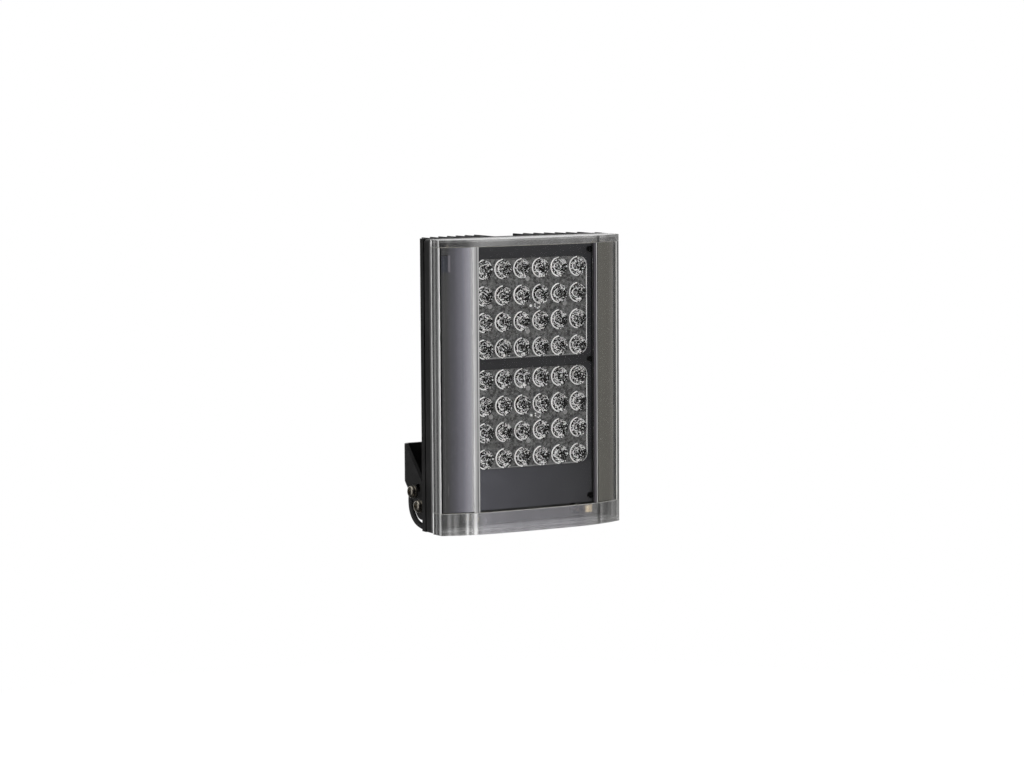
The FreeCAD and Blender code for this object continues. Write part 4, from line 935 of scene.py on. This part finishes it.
def lens_centres():
    """Places of the lenses, across and up from the middle of the plate, row by row."""
    return [((column - (LENS_COLUMNS - 1) / 2) * PITCH_ACROSS,
             (row - (LENS_ROWS - 1) / 2) * PITCH_UP)
            for row in range(LENS_ROWS) for column in range(LENS_COLUMNS)]


def ring_loop(centre, radius, steps):
    """Points of a circle, anticlockwise from the right."""
    return [(centre[0] + radius * math.cos(2 * math.pi * step / steps),
             centre[1] + radius * math.sin(2 * math.pi * step / steps)) for step in range(steps)]


def bridge(mesh, outer, inner, finish):
    """Quads between two closed rows of vertices."""
    faces = []
    count = len(outer)
    for index in range(count):
        after = (index + 1) % count
        face = mesh.faces.new((outer[index], outer[after], inner[after], inner[index]))
        face.material_index = finish
        face.smooth = True
        faces.append(face)
    return faces


def add_lens(mesh, start, centre, middle, draw):
    """Rings of one collimator, from the plate's hole inwards."""
    waves = draw.choice(RIPPLE_WAVES)
    phase = draw.uniform(0, 2 * math.pi)
    rows = [start]
    for radius, depth, ripple in LENS_RINGS:
        row = []
        for step in range(LENS_STEPS):
            angle = 2 * math.pi * step / LENS_STEPS
            wave = math.sin(waves * angle + phase)
            wave += draw.uniform(-RIPPLE_SCATTER, RIPPLE_SCATTER)
            row.append(mesh.verts.new(place(
                centre[0] + radius * math.cos(angle), OPTIC_FRONT + depth + ripple * wave,
                middle + centre[1] + radius * math.sin(angle))))
        rows.append(row)
    for ring, (outer, inner) in enumerate(zip(rows, rows[1:])):
        for face in bridge(mesh, outer, inner, PAINTED_SHADE):
            spot = face.calc_center_median()
            face.material_index = lens_finish(
                ring, spot.x / MM - centre[0], spot.z / MM - MIDDLE - middle - centre[1],
                spot.y / MM + DEPTH - OPTIC_FRONT, draw)
    cap = mesh.faces.new(list(reversed(rows[-1])))
    cap.material_index = FOOT
    cap.normal_flip()


def add_dome(mesh, centre, size, finish, sides=14):
    """Low dome on the front of the plate."""
    radius, rise = size
    rows = []
    for share, height in DOME_PROFILE:
        rows.append([mesh.verts.new(place(x, OPTIC_FRONT - rise * height, z))
                     for x, z in ring_loop(centre, radius * share, sides)])
    for outer, inner in zip(rows, rows[1:]):
        bridge(mesh, outer, inner, finish)
    mesh.faces.new(rows[-1]).material_index = finish
    mesh.faces.new(list(reversed(rows[0]))).material_index = finish


def add_marks(mesh, middle):
    """Feet seen through the plate, its location dots, and the domes near its middle."""
    for across, up in FOOT_PLACES:
        spot = (across + FOOT_SHIFT[0], middle + up + FOOT_SHIFT[1])
        add_dome(mesh, spot, FOOT_SIZE, FOOT)
    for across in (DOT_SHIFT - 2 * PITCH_ACROSS, DOT_SHIFT + 2 * PITCH_ACROSS):
        for up in (-1.5 * PITCH_UP, 1.5 * PITCH_UP):
            add_dome(mesh, (across, middle + up), DOT_SIZE, HIGHLIGHT_AND_MARK)
    across, up = MIDDLE_DOME_PLACE
    add_dome(mesh, (across, middle + up), MIDDLE_DOME_SIZE, HIGHLIGHT_AND_MARK)
    ring = ring_loop((RING_PLACE[0], middle + RING_PLACE[1]), RING_RADIUS, RING_DOMES)
    for step, spot in enumerate(ring):
        add_dome(mesh, spot, RING_DOME_SIZE, HIGHLIGHT_AND_MARK if step % 3 else FOOT, sides=10)


def add_bead(mesh, middle):
    """Raised bead round the front of the plate, with a painted highlight on its right end and
    painted light on its lower half.
    """
    rows = []
    for out, rise in ring_loop((0.0, 0.0), BEAD_RADIUS, BEAD_SIDES):
        rows.append([mesh.verts.new(place(x, OPTIC_FRONT - rise - BEAD_SINK, middle + z))
                     for x, z in rounded_loop(BEAD_INSET - out)])
    for row, following in zip(rows, rows[1:] + rows[:1]):
        for face in bridge(mesh, row, following, PLATE):
            centre = face.calc_center_median()
            # Painted highlight on the right end, painted light on the lower half
            if centre.x / MM > OPTIC_HALF_ACROSS - OPTIC_CORNER:
                face.material_index = HIGHLIGHT_AND_MARK
            elif centre.z / MM - MIDDLE - middle < 0:
                face.material_index = FOOT


def add_front(mesh, outline, middle):
    """Front of the plate inside its outline. Returns the row of vertices of each lens hole."""
    points = [Vector((vertex.co.x / MM, vertex.co.z / MM - MIDDLE)) for vertex in outline]
    owners = list(outline)
    edges = [(index, (index + 1) % len(outline)) for index in range(len(outline))]
    holes = []
    for centre in lens_centres():
        first = len(points)
        row = []
        for x, z in ring_loop((centre[0], centre[1] + middle), LENS_RIM, LENS_STEPS):
            points.append(Vector((x, z)))
            row.append(mesh.verts.new(place(x, OPTIC_FRONT, z)))
        owners += row
        edges += [(first + step, first + (step + 1) % LENS_STEPS) for step in range(LENS_STEPS)]
        holes.append(row)
    result = geometry.delaunay_2d_cdt(points, edges, [], 0, POINT_ALLOWANCE)
    spots, triangles, origins = result[0], result[2], result[3]
    keep = LENS_RIM - HOLE_MARGIN
    for triangle in triangles:
        centre = sum((spots[index] for index in triangle), Vector((0, 0))) / 3
        across, up = centre.x, centre.y - middle
        in_hole = any(math.hypot(across - x, up - z) < keep for x, z in lens_centres())
        if not in_hole and inside_plate(across, up):
            face = mesh.faces.new([owners[origins[index][0]] for index in triangle])
            face.material_index = PLATE
    return holes


def make_optic(node, middle, seed):
    """Plate of one module with its collimators, bead and marks."""
    draw = random.Random(seed)
    mesh = bmesh.new()
    rows = []
    for inset, depth in PLATE_EDGE:
        rows.append([mesh.verts.new(place(x, OPTIC_FRONT + depth, middle + z))
                     for x, z in rounded_loop(inset)])
    for outer, inner in zip(rows, rows[1:]):
        bridge(mesh, outer, inner, PLATE)
    mesh.faces.new(rows[0]).material_index = PLATE
    holes = add_front(mesh, rows[-1], middle)
    for centre, row in zip(lens_centres(), holes):
        add_lens(mesh, row, centre, middle, draw)
    add_bead(mesh, middle)
    add_marks(mesh, middle)
    bmesh.ops.recalc_face_normals(mesh, faces=mesh.faces)
    dress(node, "_lenses", mesh, (highlight_and_mark_white, cup_painted_shade, painted_glints_dense, painted_glints_sparse, plate_dark,
                                  foot_pale))


for seed, (node, middle) in enumerate(MODULES.items(), start=FIRST_SEED):
    make_optic(node, middle, seed)


# Camera, light and floor, in metres

CAMERA_TURN = math.radians(29.70)
CAMERA_DIP = math.radians(5.72)
CAMERA_ROLL = math.radians(-0.335)
CAMERA_PLACE = Vector((-1.3519, -2.4224, 0.3416))
FOCAL_PIXELS = 3150.0
FRAME_WIDTH = 1024


def aimed(spot, direction):
    """Matrix of a camera or lamp at a place that looks along a direction."""
    return Matrix.Translation(spot) @ direction.to_track_quat("-Z", "Y").to_matrix().to_4x4()


camera_data = bpy.data.cameras.new("camera")
camera_data.sensor_width = 36.0
camera_data.lens = FOCAL_PIXELS / FRAME_WIDTH * camera_data.sensor_width
camera_data.clip_start = 0.05
camera = bpy.data.objects.new("camera", camera_data)
bpy.context.collection.objects.link(camera)
look = Vector((math.sin(CAMERA_TURN) * math.cos(CAMERA_DIP),
               math.cos(CAMERA_TURN) * math.cos(CAMERA_DIP), -math.sin(CAMERA_DIP)))
camera.matrix_world = aimed(CAMERA_PLACE, look) @ Matrix.Rotation(CAMERA_ROLL, 4, "Z")
bpy.context.scene.camera = camera
bpy.context.scene.view_settings.view_transform = "Standard"

# Middle of the object, where the lamps look
TARGET = Vector((0, 0, 0.07))


def around(azimuth, elevation, distance):
    """Place of a lamp: azimuth 0 in front, positive to the right."""
    turn, lift = math.radians(azimuth), math.radians(elevation)
    return TARGET + distance * Vector((
        math.sin(turn) * math.cos(lift), -math.cos(turn) * math.cos(lift), math.sin(lift)))


def softbox(name, spot, size, power, tint=WHITE):
    """Broad lamp that isn't mirrored in gloss or seen through clear pieces."""
    data = bpy.data.lights.new(name, "AREA")
    data.shape = "RECTANGLE"
    data.size, data.size_y = size
    data.energy = power
    data.color = tint
    light = bpy.data.objects.new(name, data)
    bpy.context.collection.objects.link(light)
    light.visible_glossy = False
    light.visible_transmission = False
    light.matrix_world = aimed(spot, TARGET - spot)


softbox("front", around(-6, 6, 1.7), size=(0.7, 1.5), power=38.0)
softbox("left", around(-75, 8, 1.5), size=(0.5, 1.3), power=12.0)
softbox("right", around(62, 4, 1.8), size=(0.8, 1.2), power=16.0, tint=(1.0, 0.97, 0.9))
softbox("top", Vector((0.0, -0.3, 1.6)), size=(1.4, 1.0), power=12.0)
softbox("rear", around(168, 22, 1.7), size=(0.9, 0.9), power=40.0)

# Panels of the room: direction, cosine where it starts, cosine where it is full, strength
ROOM_PANELS = [
    ((0.35, 0.937, 0.0), 0.72, 0.9, 1.0),
    ((0.0, 0.0, 1.0), 0.5, 0.8, 0.9),
    ((-1.0, 0.0, 0.0), 0.8, 0.93, 0.8),
    ((1.0, 0.0, 0.0), 0.93, 0.985, 0.5),
]
ROOM_DARK = 0.035


def make_room():
    """White background, and a room that is light behind, above and at the sides of the object."""
    world = bpy.data.worlds.new("studio")
    bpy.context.scene.world = world
    nodes = Nodes(world, "ShaderNodeOutputWorld", "Generated")
    level = ROOM_DARK
    for aim, dark, light, strength in ROOM_PANELS:
        panel = nodes.fit(nodes.dot(nodes.coordinates, aim), dark, light, high=strength,
                          interpolation_type="SMOOTHSTEP")
        level = nodes.maths("MAXIMUM", panel, level)
    room = nodes.add("ShaderNodeBackground", {"Strength": level}).outputs["Background"]
    white = nodes.add("ShaderNodeBackground", {"Color": WHITE}).outputs["Background"]
    path = nodes.add("ShaderNodeLightPath").outputs
    bounced = nodes.maths("ADD", path["Diffuse Depth"], path["Glossy Depth"])
    direct = nodes.maths("LESS_THAN", bounced, 0.5)
    through = nodes.maths("MULTIPLY", path["Is Transmission Ray"], direct)
    seen = nodes.maths("MAXIMUM", path["Is Camera Ray"], through)
    nodes.finish(nodes.blend(seen, room, white))


make_room()

FLOOR_HALF = 1.5
FLOOR_LEVEL = -0.36
# The floor's own white: distances from the object where it starts to grow and is full, and
# how much of it there is near the object
GLOW_START = 0.4
GLOW_FULL = 1.0
GLOW_NEAR = 0.75


def make_floor():
    """Pale floor that turns white away from the object and keeps its shadow near it."""
    half, low = FLOOR_HALF, FLOOR_LEVEL
    mesh = bpy.data.meshes.new("floor")
    mesh.from_pydata([(-half, -half, low), (half, -half, low), (half, half, low),
                      (-half, half, low)], [], [(0, 1, 2, 3)])
    floor = bpy.data.objects.new("floor", mesh)
    bpy.context.collection.objects.link(floor)
    floor.visible_glossy = False
    floor.visible_transmission = False
    nodes = material("floor_white")
    tone = nodes.mottle(nodes.noise(3.0, 2.0), (0.84, 0.84, 0.84), (0.88, 0.88, 0.88))
    plain = nodes.surface(Base_Color=tone, Roughness=0.9)
    white = nodes.add("ShaderNodeEmission").outputs["Emission"]
    distance = nodes.add("ShaderNodeVectorMath", {0: nodes.coordinates},
                         operation="LENGTH").outputs["Value"]
    glow = nodes.fit(distance, GLOW_START, GLOW_FULL, low=GLOW_NEAR)
    path = nodes.add("ShaderNodeLightPath").outputs
    seen = nodes.maths("MULTIPLY", path["Is Camera Ray"], glow)
    mesh.materials.append(nodes.finish(nodes.blend(seen, plain, white)))


make_floor()
